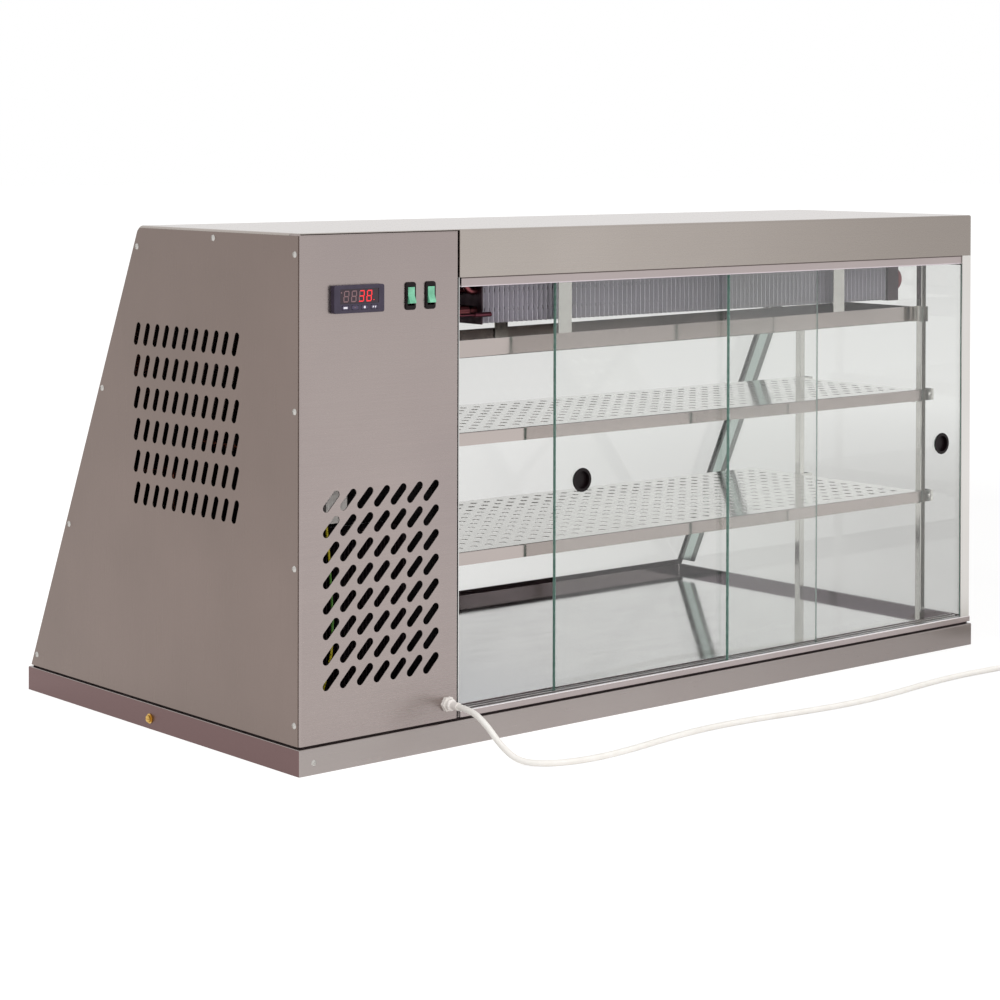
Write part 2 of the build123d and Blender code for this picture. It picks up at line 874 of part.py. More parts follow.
def make_shelf(top, shelf_depth):
    """A perforated shelf with its edges folded down."""
    left, right = shelf_ends()
    y0 = shelf_front
    y1 = shelf_front + shelf_depth
    bottom = top - shelf_flange
    outer = block(left, right, y0, y1, bottom, top)
    outer = fillet(outer.edges().group_by(Axis.Z)[-1], fold_radius / 2)
    wall = shelf_sheet
    shelf = outer - block(left + wall, right - wall, y0 + wall, y1 - wall, bottom - 1, top - wall)
    columns = int((right - left - 2 * hole_margin) // hole_pitch_x) + 1
    rows = int((shelf_depth - 2 * hole_margin) // hole_pitch_y) + 1
    middle = ((left + right) / 2, (y0 + y1) / 2)
    grid = GridLocations(hole_pitch_x, hole_pitch_y, columns, rows)
    sketch = Sketch() + [Pos(*middle, top - 2 * wall) * place * Circle(hole_diameter / 2) for place in grid]
    return shelf - extrude(sketch, 3 * wall)


def make_shelf_rails():
    """Four angles that the shelf ends rest on, on the partition and on the posts."""
    rails = []
    left, right = shelf_ends()
    for top, depth in ((upper_shelf_top, upper_shelf_depth), (lower_shelf_top, lower_shelf_depth)):
        seat = top - shelf_flange
        y0 = shelf_front + shelf_clear
        y1 = shelf_front + depth
        foot = (seat - rail_thickness, seat)
        wall_x = left - fit_gap - rail_thickness
        wall = block(wall_x, wall_x + rail_thickness, y0, y1, foot[0], top - rail_below_top)
        rails.append(wall + block(wall_x, wall_x + rail_leg, y0, y1, *foot))
        post_x = right + fit_gap
        post = block(post_x, post_x + rail_thickness, y0, y1, foot[0], top - rail_below_top)
        rails.append(post + block(post_x + rail_thickness - rail_leg, post_x + rail_thickness, y0, y1, *foot))
    return rails


def clamp_places():
    """Post front face and shelf top of each of the four clamps."""
    return [(y, top) for top in (upper_shelf_top, lower_shelf_top) for y in shelf_post_places()]


def make_shelf_clamps():
    """Folded clips round the posts that hold the shelf rails, and one for the drip pan's end."""
    clamps = []
    for y, top in clamp_places():
        x0 = tube_post_left
        x1 = x0 + post_tube + clamp_reach
        gap = fit_gap
        front = y - gap - clamp_sheet
        back = y + post_tube + gap + clamp_sheet
        clip = block(x0, x1, front, back, top - shelf_flange, top)
        clip -= block(
            x0 - 1, x1 - clamp_sheet, front + clamp_sheet, back - clamp_sheet,
            top - shelf_flange - 1, top + 1,
        )
        hole_x = x0 + post_tube + clamp_reach / 2
        clip -= rod_y(hole_x, front - 1, front + clamp_sheet + 1, top - shelf_flange / 2, screw_hole)
        clamps.append(clip)
    clamps.append(pan_clip())
    return clamps


def pan_clip():
    """Clip round the front post at the drip pan's right end, open towards the pan."""
    right = tube_post_left + post_tube + fit_gap + clamp_sheet
    left = tube_post_left - pan_clip_reach
    front = shelf_post_places()[0] - fit_gap - clamp_sheet
    back = front + post_tube + 2 * (fit_gap + clamp_sheet)
    bottom = pan_bottom_left + pan_fall
    clip = block(left, right, front, back, bottom, bottom + pan_height)
    inside = (front + clamp_sheet, back - clamp_sheet)
    return clip - block(left - 1, right - clamp_sheet, *inside, bottom - 1, bottom + pan_height + 1)


def make_screws():
    """All pan-head screws: side panel, base front and shelf clamps."""
    screws = []
    for y, z in side_screw_places():
        screws.append(Pos(left_inset, y, z) * Rot(0, -90, 0) * pan_head_screw(2.2 * sheet))
    x, z = base_screw
    screws.append(Pos(x, 0, z) * Rot(90, 0, 0) * pan_head_screw(2 * sheet))
    for y, top in clamp_places():
        x = tube_post_left + post_tube + clamp_reach / 2
        seat = y - fit_gap - clamp_sheet
        z = top - shelf_flange / 2
        screws.append(Pos(x, seat, z) * Rot(90, 0, 0) * pan_head_screw(clamp_screw_length))
    return screws


def tube_places():
    """Y and Z of the evaporator's straight tubes, in the order that the pipe runs."""
    first_y = coil_front + (coil_depth - (tube_columns - 1) * tube_pitch) / 2
    first_z = coil_bottom + (coil_height - (tube_rows - 1) * tube_pitch) / 2
    places = []
    for column in range(tube_columns):
        rows = range(tube_rows) if column % 2 == 0 else reversed(range(tube_rows))
        for row in rows:
            places.append((first_y + column * tube_pitch, first_z + row * tube_pitch))
    return places


def fin_right():
    """Right face of the last fin."""
    return fin_left + (fin_count - 1) * fin_pitch + fin_thickness


def make_evaporator_fins():
    """Thin plates on the evaporator's tubes, all alike."""
    face = Polygon(
        (coil_front, coil_bottom), (coil_front + coil_depth, coil_bottom),
        (coil_front + coil_depth, coil_bottom + coil_height), (coil_front, coil_bottom + coil_height),
        align=None,
    )
    for y, z in tube_places():
        face -= Pos(y, z) * Circle(tube_diameter / 2 + fit_gap / 2)
    fin = extrude(Plane.YZ.offset(fin_left) * face, fin_thickness)
    return [Pos(index * fin_pitch, 0, 0) * fin for index in range(fin_count)]


def make_evaporator_end_plates():
    """Folded plates that hang the evaporator from the ceiling."""
    plates = []
    y0 = coil_front - 1
    y1 = coil_front + coil_depth + 1
    z1 = ceiling_height - fit_gap
    for x, lean in ((fin_left - end_plate_gap, -1), (fin_right() + end_plate_gap, 1)):
        near, far = sorted((x, x + lean * end_plate))
        plate = block(near, far, y0, y1, coil_bottom - 1, z1)
        for y, z in tube_places():
            plate -= rod_x(near - 1, far + 1, y, z, tube_diameter + fit_gap)
        low, high = sorted((x, x + lean * end_plate_foot))
        plate += block(low, high, y0, y1, z1 - end_plate, z1)
        plates.append(plate)
    x = fin_right() + end_plate_gap
    plates[1] += block(x, x + end_plate_front, y0 - end_plate, y0, coil_bottom - 1, z1)
    return plates


def make_evaporator_tubes():
    """One serpentine copper tube with its return bends, and its two ends led to the left."""
    places = tube_places()
    left = fin_left - left_tube_overhang
    right = fin_right() + right_tube_overhang
    y, z = places[0]
    round_end = accumulator_end - accumulator_diameter / 2
    solid = rod_x(accumulator_end - accumulator_length, round_end, y, z, accumulator_diameter)
    solid += Pos(round_end, y, z) * Sphere(accumulator_diameter / 2)
    for index, (y, z) in enumerate(places):
        start = pipes_meet_x if index in (0, len(places) - 1) else left
        solid += rod_x(start, right, y, z, tube_diameter)
    for index, pair in enumerate(zip(places, places[1:])):
        x, side = (right, 1) if index % 2 == 0 else (left, -1)
        solid += return_bend(*pair, x, side)
    return solid


def return_bend(first, second, x, side):
    """Half ring that joins two neighbouring tubes at one end of the coil."""
    y = (first[0] + second[0]) / 2
    z = (first[1] + second[1]) / 2
    spacing = hypot(second[0] - first[0], second[1] - first[1])
    turn = degrees(atan2(second[1] - first[1], second[0] - first[0]))
    ring = Torus(spacing / 2, tube_diameter / 2)
    half = ring & Pos(0, side * spacing, 0) * Box(4 * spacing, 2 * spacing, 2 * tube_diameter)
    plane = Plane(origin=(x, y, z), x_dir=(0, cos(radians(turn)), sin(radians(turn))),
                  z_dir=(0, sin(radians(turn)), -cos(radians(turn))))
    return plane * half


def partition_holes():
    """Holes in the partition for the evaporator's two tubes, the drain and the probe's lead."""
    x0 = display_left - partition_foam - 5
    x1 = display_left + sheet + 1
    places = tube_places()
    holes = [rod_x(x0, x1, *places[0], tube_diameter + 1)]
    holes.append(rod_x(x0, x1, *places[-1], tube_diameter + 1))
    holes.append(rod_x(x0, x1, pan_middle(), drain_level(), drain_diameter + 1))
    holes.append(rod_x(x0, x1, *probe_entry(), lead_diameter + 1))
    return holes


def pan_middle():
    """Y of the drip pan's middle."""
    return pan_front + pan_depth / 2


def drain_level():
    """Height of the drain tube's axis."""
    return pan_bottom_left - drain_diameter / 2 - 4


def probe_entry():
    """Where the probe's lead comes through the partition, as Y and Z."""
    return coil_front - 8, coil_bottom + 34


def make_drip_pan():
    """Long tray under the evaporator that falls towards the drain at its left."""
    outer = block(0, pan_length, 0, pan_depth, 0, pan_height)
    outer = fillet(outer.edges().filter_by(Axis.Z) + outer.edges().group_by(Axis.Z)[0], 1.5)
    wall = pan_wall
    pan = outer - block(wall, pan_length - wall, wall, pan_depth - wall, wall, pan_height + 1)
    pan -= rod_z(drain_diameter, pan_depth / 2, -1, wall + 1, drain_diameter - 4)
    tilt = degrees(atan(pan_fall / pan_length))
    return Pos(pan_left, pan_front, pan_bottom_left) * Rot(0, -tilt, 0) * pan


def make_pan_straps():
    """Flat hangers from the ceiling down inside the pan's front and back walls."""
    straps = []
    gap = fit_gap + 0.1
    for x in (pan_left + strap_from_pan_left, pan_left + pan_length - strap_from_pan_right):
        rise = (x - pan_left) / pan_length * pan_fall
        bottom = pan_bottom_left + rise + pan_height - strap_into_pan
        front = pan_front + pan_wall + gap
        back = pan_front + pan_depth - pan_wall - gap - strap_thickness
        for y in (front, back):
            strap = (x, x + strap_width, y, y + strap_thickness)
            straps.append(block(*strap, bottom, ceiling_height - fit_gap))
    return straps


def make_drain_tube():
    """Plastic tube from the pan's outlet through the partition into the compartment."""
    x0 = display_left - partition_foam - 20
    x1 = pan_left + drain_diameter
    z = drain_level()
    tube = rod_x(x0, x1 + drain_diameter / 2, pan_middle(), z, drain_diameter)
    tube += rod_z(x1, pan_middle(), z, pan_bottom_left - 0.6, drain_diameter)
    tube -= rod_x(x0 - 1, x1, pan_middle(), z, drain_diameter - 3)
    return tube - rod_z(x1, pan_middle(), z, pan_bottom_left + 1, drain_diameter - 3)


def make_temperature_probe():
    """Sensor bulb at the coil's left end, with its lead from the partition."""
    y, z = probe_entry()
    x = fin_left - 22
    bulb_y = coil_front - 8
    bulb = rod_x(x, x + probe_length, bulb_y, z - 22, probe_diameter)
    start = (display_left - partition_foam - 6, y, z)
    points = (start, (display_left + 30, y, z), (x - 24, bulb_y, z - 21.9), (x + 1, bulb_y, z - 22))
    return bulb + pipe(points, lead_diameter, 12.0)


def make_lamp_strip():
    """Lamp under the ceiling, above the front of the shelves' back half."""
    x0 = display_left + 60
    x1 = side_glass_left - 60
    z1 = ceiling_height - fit_gap
    strip = block(x0, x1, lamp_front, lamp_front + lamp_width, z1 - lamp_height, z1)
    return fillet(strip.edges().filter_by(Axis.X).group_by(Axis.Z)[0], 4.0)


def controller_centre():
    """X of the controller's middle."""
    return controller_left + controller_width / 2


def key_places():
    """X of each key's middle."""
    return [controller_left + key_start + index * key_pitch for index in range(key_count)]


def make_controller_housing():
    """Bezel and case of the temperature controller."""
    x = controller_centre()
    z = control_height
    front = front_inset - controller_proud
    half = (controller_width / 2, controller_height / 2)
    bezel = block(x - half[0], x + half[0], front, front_inset, z - half[1], z + half[1])
    bezel = fillet(bezel.edges().filter_by(Axis.Y), controller_corner)
    bezel = fillet(bezel.edges().group_by(Axis.Y)[0], controller_edge)
    width, height, depth = controller_body
    case = block(
        x - width / 2, x + width / 2, front_inset, front_inset + depth, z - height / 2, z + height / 2
    )
    housing = bezel + case
    wide, tall = window_size
    low = z + window_lift - tall / 2
    housing -= block(x - wide / 2, x + wide / 2, front - 1, front + window_recess, low, low + tall)
    for key_x in key_places():
        wide = key_size[0] / 2 + key_gap
        tall = key_size[1] / 2 + key_gap
        depth = key_thickness - key_proud + key_travel + key_behind
        key_z = z - key_drop
        housing -= block(key_x - wide, key_x + wide, front - 1, front + depth, key_z - tall, key_z + tall)
    return housing


def make_controller_window():
    """Dark display window."""
    x = controller_centre()
    front = front_inset - controller_proud
    wide = window_size[0] - 2 * fit_gap
    tall = window_size[1] - 2 * fit_gap
    low = control_height + window_lift - tall / 2
    y = front + window_sunk
    return block(x - wide / 2, x + wide / 2, y, y + window_thickness, low, low + tall)


def make_key(x):
    """A small key of the controller."""
    wide, tall = key_size
    z = control_height - key_drop
    front = front_inset - controller_proud - key_proud
    key = block(x - wide / 2, x + wide / 2, front, front + key_thickness, z - tall / 2, z + tall / 2)
    return fillet(key.edges().filter_by(Axis.Y), key_corner)


def rocker_pivot_y():
    """Y of the rockers' hinge."""
    return front_inset - switch_proud + rocker_pivot_depth


def make_switch_bodies():
    """Black snap-in bodies of the two rocker switches."""
    bodies = []
    z = control_height
    for x in switch_centres:
        wide, tall = switch_bezel
        front = front_inset - switch_proud
        bezel = block(x - wide / 2, x + wide / 2, front, front_inset, z - tall / 2, z + tall / 2)
        bezel = fillet(bezel.edges().filter_by(Axis.Y), switch_corner)
        bezel = fillet(bezel.edges().group_by(Axis.Y)[0], switch_edge)
        width, height, depth = switch_body
        case = block(
            x - width / 2, x + width / 2, front_inset, front_inset + depth, z - height / 2, z + height / 2
        )
        half = rocker_width / 2 + rocker_gap / 2
        reach = rocker_length / 2 + rocker_end_gap
        back = rocker_pivot_y() + switch_well_behind_pivot
        well = block(x - half, x + half, front - 1, back, z - reach, z + reach)
        bodies.append(bezel + case - well)
    return bodies


def make_rocker(x):
    """A two-position rocker, its upper half pressed in."""
    half = rocker_length / 2
    rise = rocker_waist + half * tan(radians(rocker_angle))
    outline = (
        (-rise, -half), (-rocker_waist, 0), (-rise, half),
        (0, half * rocker_back_share), (rocker_belly, 0), (0, -half * rocker_back_share),
    )
    rocker = side_prism(-rocker_width / 2, rocker_width / 2, outline)
    rocker = fillet(rocker.edges().filter_by(Axis.X).group_by(Axis.Y)[0], rocker_edge)
    return Pos(x, rocker_pivot_y(), control_height) * Rot(-rocker_angle, 0, 0) * rocker


def make_cable_gland():
    """White nylon gland: nut inside, hexagon and dome outside, and the nose round the cord."""
    face = front_inset
    across = gland_hex / cos(radians(30)) / 2
    thread = rod_y(gland_x, face, face + sheet + gland_thread_length, gland_z, gland_thread)
    outline = Pos(gland_x, gland_z) * RegularPolygon(across, 6)
    nut = extrude(Plane.XZ.offset(-face - sheet - gland_nut_length) * outline, gland_nut_length)
    hexagon = extrude(Plane.XZ.offset(-face) * outline, gland_hex_length)
    dome_back = face - gland_hex_length
    dome_front = dome_back - gland_dome_length
    dome = rod_y(gland_x, dome_front, dome_back, gland_z, gland_hex - 2)
    dome = fillet(dome.edges().group_by(Axis.Y)[0], gland_dome_edge)
    nose = Cone(
        gland_hex / 2 - gland_shoulder, cord_diameter / 2 + gland_nose_wall, gland_nose + dome_front,
        align=(Align.CENTER, Align.CENTER, Align.MIN),
    )
    nose = Pos(gland_x, dome_front, gland_z) * Rot(90, 0, 0) * nose
    return thread + nut + hexagon + dome + nose


def cord_route():
    """The cord from the gland to its coil: down to the table, then along the front."""
    floor = cord_diameter / 2 + 0.1
    start_x, start_y = coil_start()
    return [
        (gland_x, -gland_nose, gland_z),
        (gland_x, -42.0, 52.0),
        (gland_x + 0.5, -68.0, 40.0),
        (gland_x + 2.0, -92.0, 20.0),
        (gland_x + 7.0, -114.0, 6.4),
        (gland_x + 20.0, -134.0, floor),
        (263.0, -150.0, floor),
        (306.0, -158.0, floor),
        (366.0, -154.0, floor),
        (436.0, -142.0, floor),
        (511.0, -134.0, floor),
        (591.0, -138.0, floor),
        (671.0, -150.0, floor),
        (751.0, -157.0, floor),
        (831.0, -153.0, floor),
        (909.0, -142.0, floor),
        (986.0, -136.0, floor),
        (1058.0, -139.5, floor),
        (1122.0, -144.0, floor),
        (1184.0, start_y, floor),
        (start_x, start_y, floor),
    ]


def make_mains_cord():
    """Free stretch of the cord, one tube along straight runs joined by tangent arcs."""
    points = [Vector(*point) for point in cord_route()]
    radii = []
    for before, here, after in zip(points, points[1:], points[2:]):
        turn = (here - before).get_angle(after - here)
        shorter = min((here - before).length, (after - here).length)
        radii.append(0.45 * shorter / tan(radians(turn / 2)))
    path = FilletPolyline(*points, radius=radii)
    section = Plane(origin=path @ 0, z_dir=path % 0) * Circle(cord_diameter / 2)
    cord = sweep(section, path=path)
    expected = path.length * pi * cord_diameter**2 / 4
    print("cord radii", [round(radius) for radius in radii])
    print("cord length", round(path.length, 1), "volume ratio", round(cord.volume / expected, 4))
    return cord


def coil_pitch():
    """Spacing of the coil's turns, side by side and layer on layer."""
    return cord_diameter + coil_gap


def coil_radius(turn):
    """Radius of the coil's centre line after some turns: in to the middle, then out again."""
    return coil_inner_radius + coil_pitch() * abs(turn - coil_turns_in)


def coil_height_at(turn):
    """Height of the coil's centre line: on the table, one layer up, then up to the plug."""
    floor = cord_diameter / 2 + 0.1
    rise = smooth((turn - coil_turns_in + 0.25) / 0.5) * coil_pitch()
    last = coil_turns_in + coil_turns_out
    to_plug = plug_thickness / 2 - floor - coil_pitch()
    return floor + rise + smooth((turn - last + 0.5) / 0.5) * to_plug


def smooth(share):
    """An even rise from 0 to 1 with level ends."""
    share = min(max(share, 0.0), 1.0)
    return share * share * (3 - 2 * share)


def coil_point(turn):
    """A point of the coil's centre line. It starts at the coil's front and turns left."""
    angle = 2 * pi * turn - pi / 2
    radius = coil_radius(turn)
    x = coil_centre[0] + radius * cos(angle)
    y = coil_centre[1] + radius * sin(angle)
    return Vector(x, y, coil_height_at(turn))


def coil_tangent(turn):
    """Direction of the coil's centre line."""
    last = coil_turns_in + coil_turns_out
    if turn in (0.0, coil_turns_in, last):
        angle = 2 * pi * turn
        return Vector(cos(angle), sin(angle), 0)
    step = 0.001
    return (coil_point(turn + step) - coil_point(turn - step)).normalized()


def coil_start():
    """Where the coil's straight beginning meets the free stretch."""
    first = coil_point(0.0)
    return first.X - cord_diameter, first.Y


def two_arcs(start, start_way, end, end_way):
    """Two tangent arcs that join two points with given directions."""
    chord = end - start
    ways = start_way + end_way
    lack = 2 * (1 - start_way.dot(end_way))
    reach = (-chord.dot(ways) + (chord.dot(ways) ** 2 + lack * chord.dot(chord)) ** 0.5) / lack
    middle = (start + end + (start_way - end_way) * reach) * 0.5
    first = TangentArc(start, middle, tangent=start_way)
    return [first, TangentArc(middle, end, tangent=first % 1)]


def make_mains_cord_coil():
    """The put-away length: one tube that winds in, climbs a layer and winds out to the plug."""
    last = coil_turns_in + coil_turns_out
    turns = [index / 4 for index in range(int(last * 4) + 1)]
    begin = Vector(*coil_start(), coil_height_at(0.0))
    edges = [Line(begin, coil_point(0.0))]
    for turn, following in zip(turns, turns[1:]):
        edges += two_arcs(
            coil_point(turn), coil_tangent(turn), coil_point(following), coil_tangent(following)
        )
    end = coil_point(last)
    edges.append(Line(end, end + coil_tangent(last) * coil_tail))
    path = Wire(edges)
    section = Plane(origin=path @ 0, z_dir=path % 0) * Circle(cord_diameter / 2)
    coil = sweep(section, path=path)
    expected = path.length * pi * cord_diameter**2 / 4
    print("coil length", round(path.length, 1), "volume ratio", round(coil.volume / expected, 4))
    print("coil least gap to itself", round(coil_least_gap(), 2))
    return coil


def coil_least_gap():
    """Least gap between the coil's turns, measured on points of its centre line."""
    last = coil_turns_in + coil_turns_out
    steps = int(last * 72)
    points = [coil_point(last * index / steps) for index in range(steps + 1)]
    least = 1000.0
    for index, point in enumerate(points):
        for other in points[index + 36:]:
            least = min(least, (other - point).length)
    return least - cord_diameter


def plug_face():
    """Middle of the face where the coil's end meets the plug's strain relief."""
    last = coil_turns_in + coil_turns_out
    end = coil_point(last)
    return end.X, end.Y + coil_tail, end.Z


def make_mains_plug():
    """Moulded plug lying on its side, with its tapered strain relief."""
    x, y, z = plug_face()
    thin, thick = relief_walls
    relief = Cone(
        cord_diameter / 2 + thin, cord_diameter / 2 + thick, relief_length,
        align=(Align.CENTER, Align.CENTER, Align.MIN),
    )
    relief = Pos(x, y, z) * Rot(-90, 0, 0) * relief
    y0 = y + relief_length
    half = (plug_width / 2, plug_thickness / 2)
    body = block(x - half[0], x + half[0], y0, y0 + plug_length, z - half[1], z + half[1])
    body = fillet(body.edges().filter_by(Axis.Y), plug_corner)
    body = fillet(body.edges().group_by(Axis.Y)[0], plug_back_edge)
    for pin_x in pin_places():
        face = y0 + plug_length
        body -= rod_y(pin_x, face - pin_in_plug, face + 1, z, pin_shank + fit_gap)
    return relief + body


def pin_places():
    """X of the plug's two pins."""
    x = plug_face()[0]
    return (x - pin_spacing / 2, x + pin_spacing / 2)


def make_plug_pins():
    """Two round brass pins with rounded tips and thinner shanks in the plug."""
    _, y, z = plug_face()
    face = y + relief_length + plug_length
    pins = []
    for x in pin_places():
        pin = rod_y(x, face + pin_neck, face + pin_length, z, pin_diameter)
        pin = fillet(pin.edges().group_by(Axis.Y)[-1], pin_tip_radius)
        pins.append(pin + rod_y(x, face - pin_in_plug + fit_gap, face + pin_neck, z, pin_shank))
    return pins


def foot_places():
    """X and Y of the compressor's four feet."""
    x, y = compressor_centre
    dx, dy = foot_spacing
    return [(x + sx * dx / 2, y + sy * dy / 2) for sx in (-1, 1) for sy in (-1, 1)]


def make_compressor():
    """Hermetic compressor: domed shell, mounting plate and terminal box."""
    x, y = compressor_centre
    plate_z = base_height + foot_height
    dx, dy = foot_spacing
    half = (dx / 2 + compressor_plate_margin, dy / 2 + compressor_plate_margin)
    shell_z = plate_z + compressor_plate
    plate = block(x - half[0], x + half[0], y - half[1], y + half[1], plate_z, shell_z)
    plate = fillet(plate.edges().filter_by(Axis.Z), compressor_plate_corner)
    for foot_x, foot_y in foot_places():
        plate -= rod_z(foot_x, foot_y, plate_z - 1, shell_z + 1, foot_stem + 4 * fit_gap)
    shell = rod_z(x, y, shell_z, shell_z + compressor_body_height, compressor_diameter)
    shell = fillet(shell.edges().group_by(Axis.Z)[-1], compressor_dome)
    wide, deep, tall = terminal_box
    box_y = y - compressor_diameter / 2 - terminal_box_proud
    box_z = plate_z + terminal_box_rise
    box = block(x - wide / 2, x + wide / 2, box_y, box_y + deep, box_z, box_z + tall)
    return plate + shell + fillet(box.edges().filter_by(Axis.Y), terminal_box_corner)


def make_compressor_feet():
    """Rubber feet with a shoulder through the mounting plate."""
    feet = []
    for x, y in foot_places():
        top = base_height + foot_height
        foot = rod_z(x, y, base_height, top, foot_diameter)
        foot = fillet(foot.edges().group_by(Axis.Z)[0], foot_edge)
        feet.append(foot + rod_z(x, y, top, top + foot_stem_height, foot_stem))
    return feet


def condenser_rows():
    """Heights of the condenser's level tube runs."""
    count = int(condenser_height // condenser_tube_pitch)
    first = condenser_bottom + condenser_tube_pitch / 2
    return [first + condenser_tube_pitch * row for row in range(count)]


def make_condenser():
    """Fin and tube condenser with its end plates and the bar over it."""
    left = condenser_left
    right = condenser_left + condenser_width
    y0 = condenser_front
    y1 = condenser_front + condenser_depth
    z0 = condenser_bottom
    z1 = condenser_bottom + condenser_height
    y = (y0 + y1) / 2
    plate = bracket_sheet
    margin = condenser_end_margin
    face = Polygon((y0, z0), (y1, z0), (y1, z1), (y0, z1), align=None)
    for z in condenser_rows():
        face -= Pos(y, z) * Circle(condenser_tube / 2 + fit_gap / 2)
    fin = extrude(Plane.YZ.offset(left + margin) * face, fin_thickness)
    pitch = (condenser_width - 2 * margin - fin_thickness) / (condenser_fins - 1)
    solids = [Pos(index * pitch, 0, 0) * fin for index in range(condenser_fins)]
    end = extrude(Plane.YZ.offset(left) * face, plate)
    bar_z = z1 + bar_above
    bar_top = bar_z + bar_height
    frame = end + Pos(condenser_width - plate, 0, 0) * end
    frame += block(left, left + bar_width, y0, y0 + plate, bar_z, bar_top)
    frame += block(left, left + plate, y0, y1, z1, bar_top)
    for x in (left, right - plate):
        frame += block(x, x + plate, y0, y1, base_height, z0)
    solids.append(frame)
    reach = condenser_overhang
    solids.append(serpentine(left - reach, right + reach, y, condenser_rows()))
    return solids


def serpentine(left, right, y, heights):
    """Condenser tube: level runs, one above the other, joined by half rings."""
    runs = [rod_x(left, right, y, z, condenser_tube) for z in heights]
    solid = runs[0]
    for index, run in enumerate(runs[1:]):
        gap = heights[index + 1] - heights[index]
        ring = Rot(90, 0, 0) * Torus(gap / 2, condenser_tube / 2)
        x, side = (right, 1) if index % 2 == 0 else (left, -1)
        half = ring & Pos(side * gap, 0, 0) * Box(2 * gap, 2 * condenser_tube, 4 * gap)
        solid += run + Pos(x, y, heights[index] + gap / 2) * half
    return solid


def fan_centre():
    """X and Z of the fan's axis."""
    return condenser_left + condenser_width / 2, condenser_bottom + condenser_height / 2


def shroud_front():
    """Front of the shroud's plate, just behind the condenser."""
    return condenser_front + condenser_depth + fit_gap


def make_fan_shroud():
    """Plate behind the condenser with a ring round the fan."""
    right = condenser_left + condenser_width
    top = condenser_bottom + condenser_height
    x, z = fan_centre()
    y0 = shroud_front()
    wall = bracket_sheet
    plate = block(condenser_left, right, y0, y0 + wall, condenser_bottom, top)
    ring = rod_y(x, y0, y0 + shroud_depth, z, shroud_ring + 2 * wall)
    return plate + ring - rod_y(x, y0 - 1, y0 + shroud_depth + 1, z, shroud_ring)


def fan_front():
    """Front of the fan's hub."""
    return shroud_front() + fan_behind_shroud


def make_fan_blade():
    """Hub with five pitched blades, and the shaft that turns in the motor."""
    x, z = fan_centre()
    hub = rod_y(0, 0, hub_length, 0, hub_diameter)
    hub = fillet(hub.edges().group_by(Axis.Y)[0], hub_edge)
    shaft = rod_y(0, hub_length / 2, hub_length + shaft_reach, 0, fan_shaft)
    root = hub_diameter / 2 - 3
    size = (fan_diameter / 2 - 1 - root, blade_sheet, blade_width)
    blade = Box(*size, align=(Align.MIN, Align.CENTER, Align.CENTER))
    blade = Pos(root, hub_length / 2, 0) * Rot(fan_pitch, 0, 0) * blade
    reach = rod_y(0, -hub_length, 2 * hub_length, 0, fan_diameter)
    fan = hub + shaft
    for index in range(fan_blades):
        fan += (Rot(0, 360 / fan_blades * index, 0) * blade) & reach
    return Pos(x, fan_front(), z) * fan


def make_fan_motor():
    """Motor behind the fan, on four arms that reach the back of the shroud's ring."""
    x, z = fan_centre()
    y0 = fan_front() + hub_length + motor_behind_hub
    can = rod_y(x, y0, y0 + motor_length, z, motor_diameter)
    can = fillet(can.edges().group_by(Axis.Y)[-1], motor_edge)
    ring_back = shroud_front() + shroud_depth + fit_gap
    wide, thick = motor_arm
    for index in range(motor_arms):
        arm = block(0, shroud_ring / 2 + bracket_sheet, ring_back, ring_back + thick, -wide / 2, wide / 2)
        can += Pos(x, 0, z) * Rot(0, 45 + 360 / motor_arms * index, 0) * arm
    return can - rod_y(x, y0 - 1, y0 + motor_bore_depth, z, fan_shaft + 2 * shaft_gap)


def make_refrigerant_pipes():
    """Copper pipes of the compartment: discharge, suction, and the liquid line with its drier."""
    x, y = compressor_centre
    top = base_height + foot_height + compressor_plate + compressor_body_height
    tube_y = condenser_front + condenser_depth / 2
    rows = condenser_rows()
    entry = condenser_left - condenser_overhang
    side = entry - 10
    low = base_height + 22
    over_fan = condenser_bottom + condenser_height + pipes_over_fan
    expansion, suction_port = tube_places()[0], tube_places()[-1]
    drier_x = pipes_meet_x - 5.5
    capillary_z = expansion[1] - 57
    drier_z = capillary_z - drier_length - 68
    discharge = pipe(
        (
            (x - 20, y, top), (x - 20, y, over_fan), (side, y, over_fan),
            (side, tube_y, over_fan), (side, tube_y, rows[-1]), (entry, tube_y, rows[-1]),
        ),
        discharge_tube, 8.0,
    )
    suction = pipe(
        (
            (x + 20, y, top), (x + 20, y, over_fan + 30), (x + 20, suction_port[0], over_fan + 30),
            (x + 20, *suction_port), (pipes_meet_x, *suction_port),
        ),
        suction_tube, 12.0,
    )
    liquid = pipe(
        (
            (entry, tube_y, rows[0]), (side, tube_y, rows[0]), (side, tube_y, low),
            (side, drier_y, low), (drier_x, drier_y, low), (drier_x, drier_y, drier_z),
        ),
        liquid_tube, 5.0,
    )
    drier = rod_z(drier_x, drier_y, drier_z, drier_z + drier_length, drier_diameter)
    drier = fillet(drier.edges(), drier_edge)
    capillary = pipe(
        (
            (drier_x, drier_y, drier_z + drier_length), (drier_x, drier_y, capillary_z),
            (drier_x, expansion[0], capillary_z), (drier_x, *expansion), (pipes_meet_x, *expansion),
        ),
        liquid_tube, 5.0,
    )
    return [discharge, suction, liquid + drier + capillary]


def terminal_place():
    """Corner of the terminal block nearest the front: X, Y and Z."""
    return terminal_left, condenser_front - terminal_proud, condenser_bottom + condenser_height + bar_above


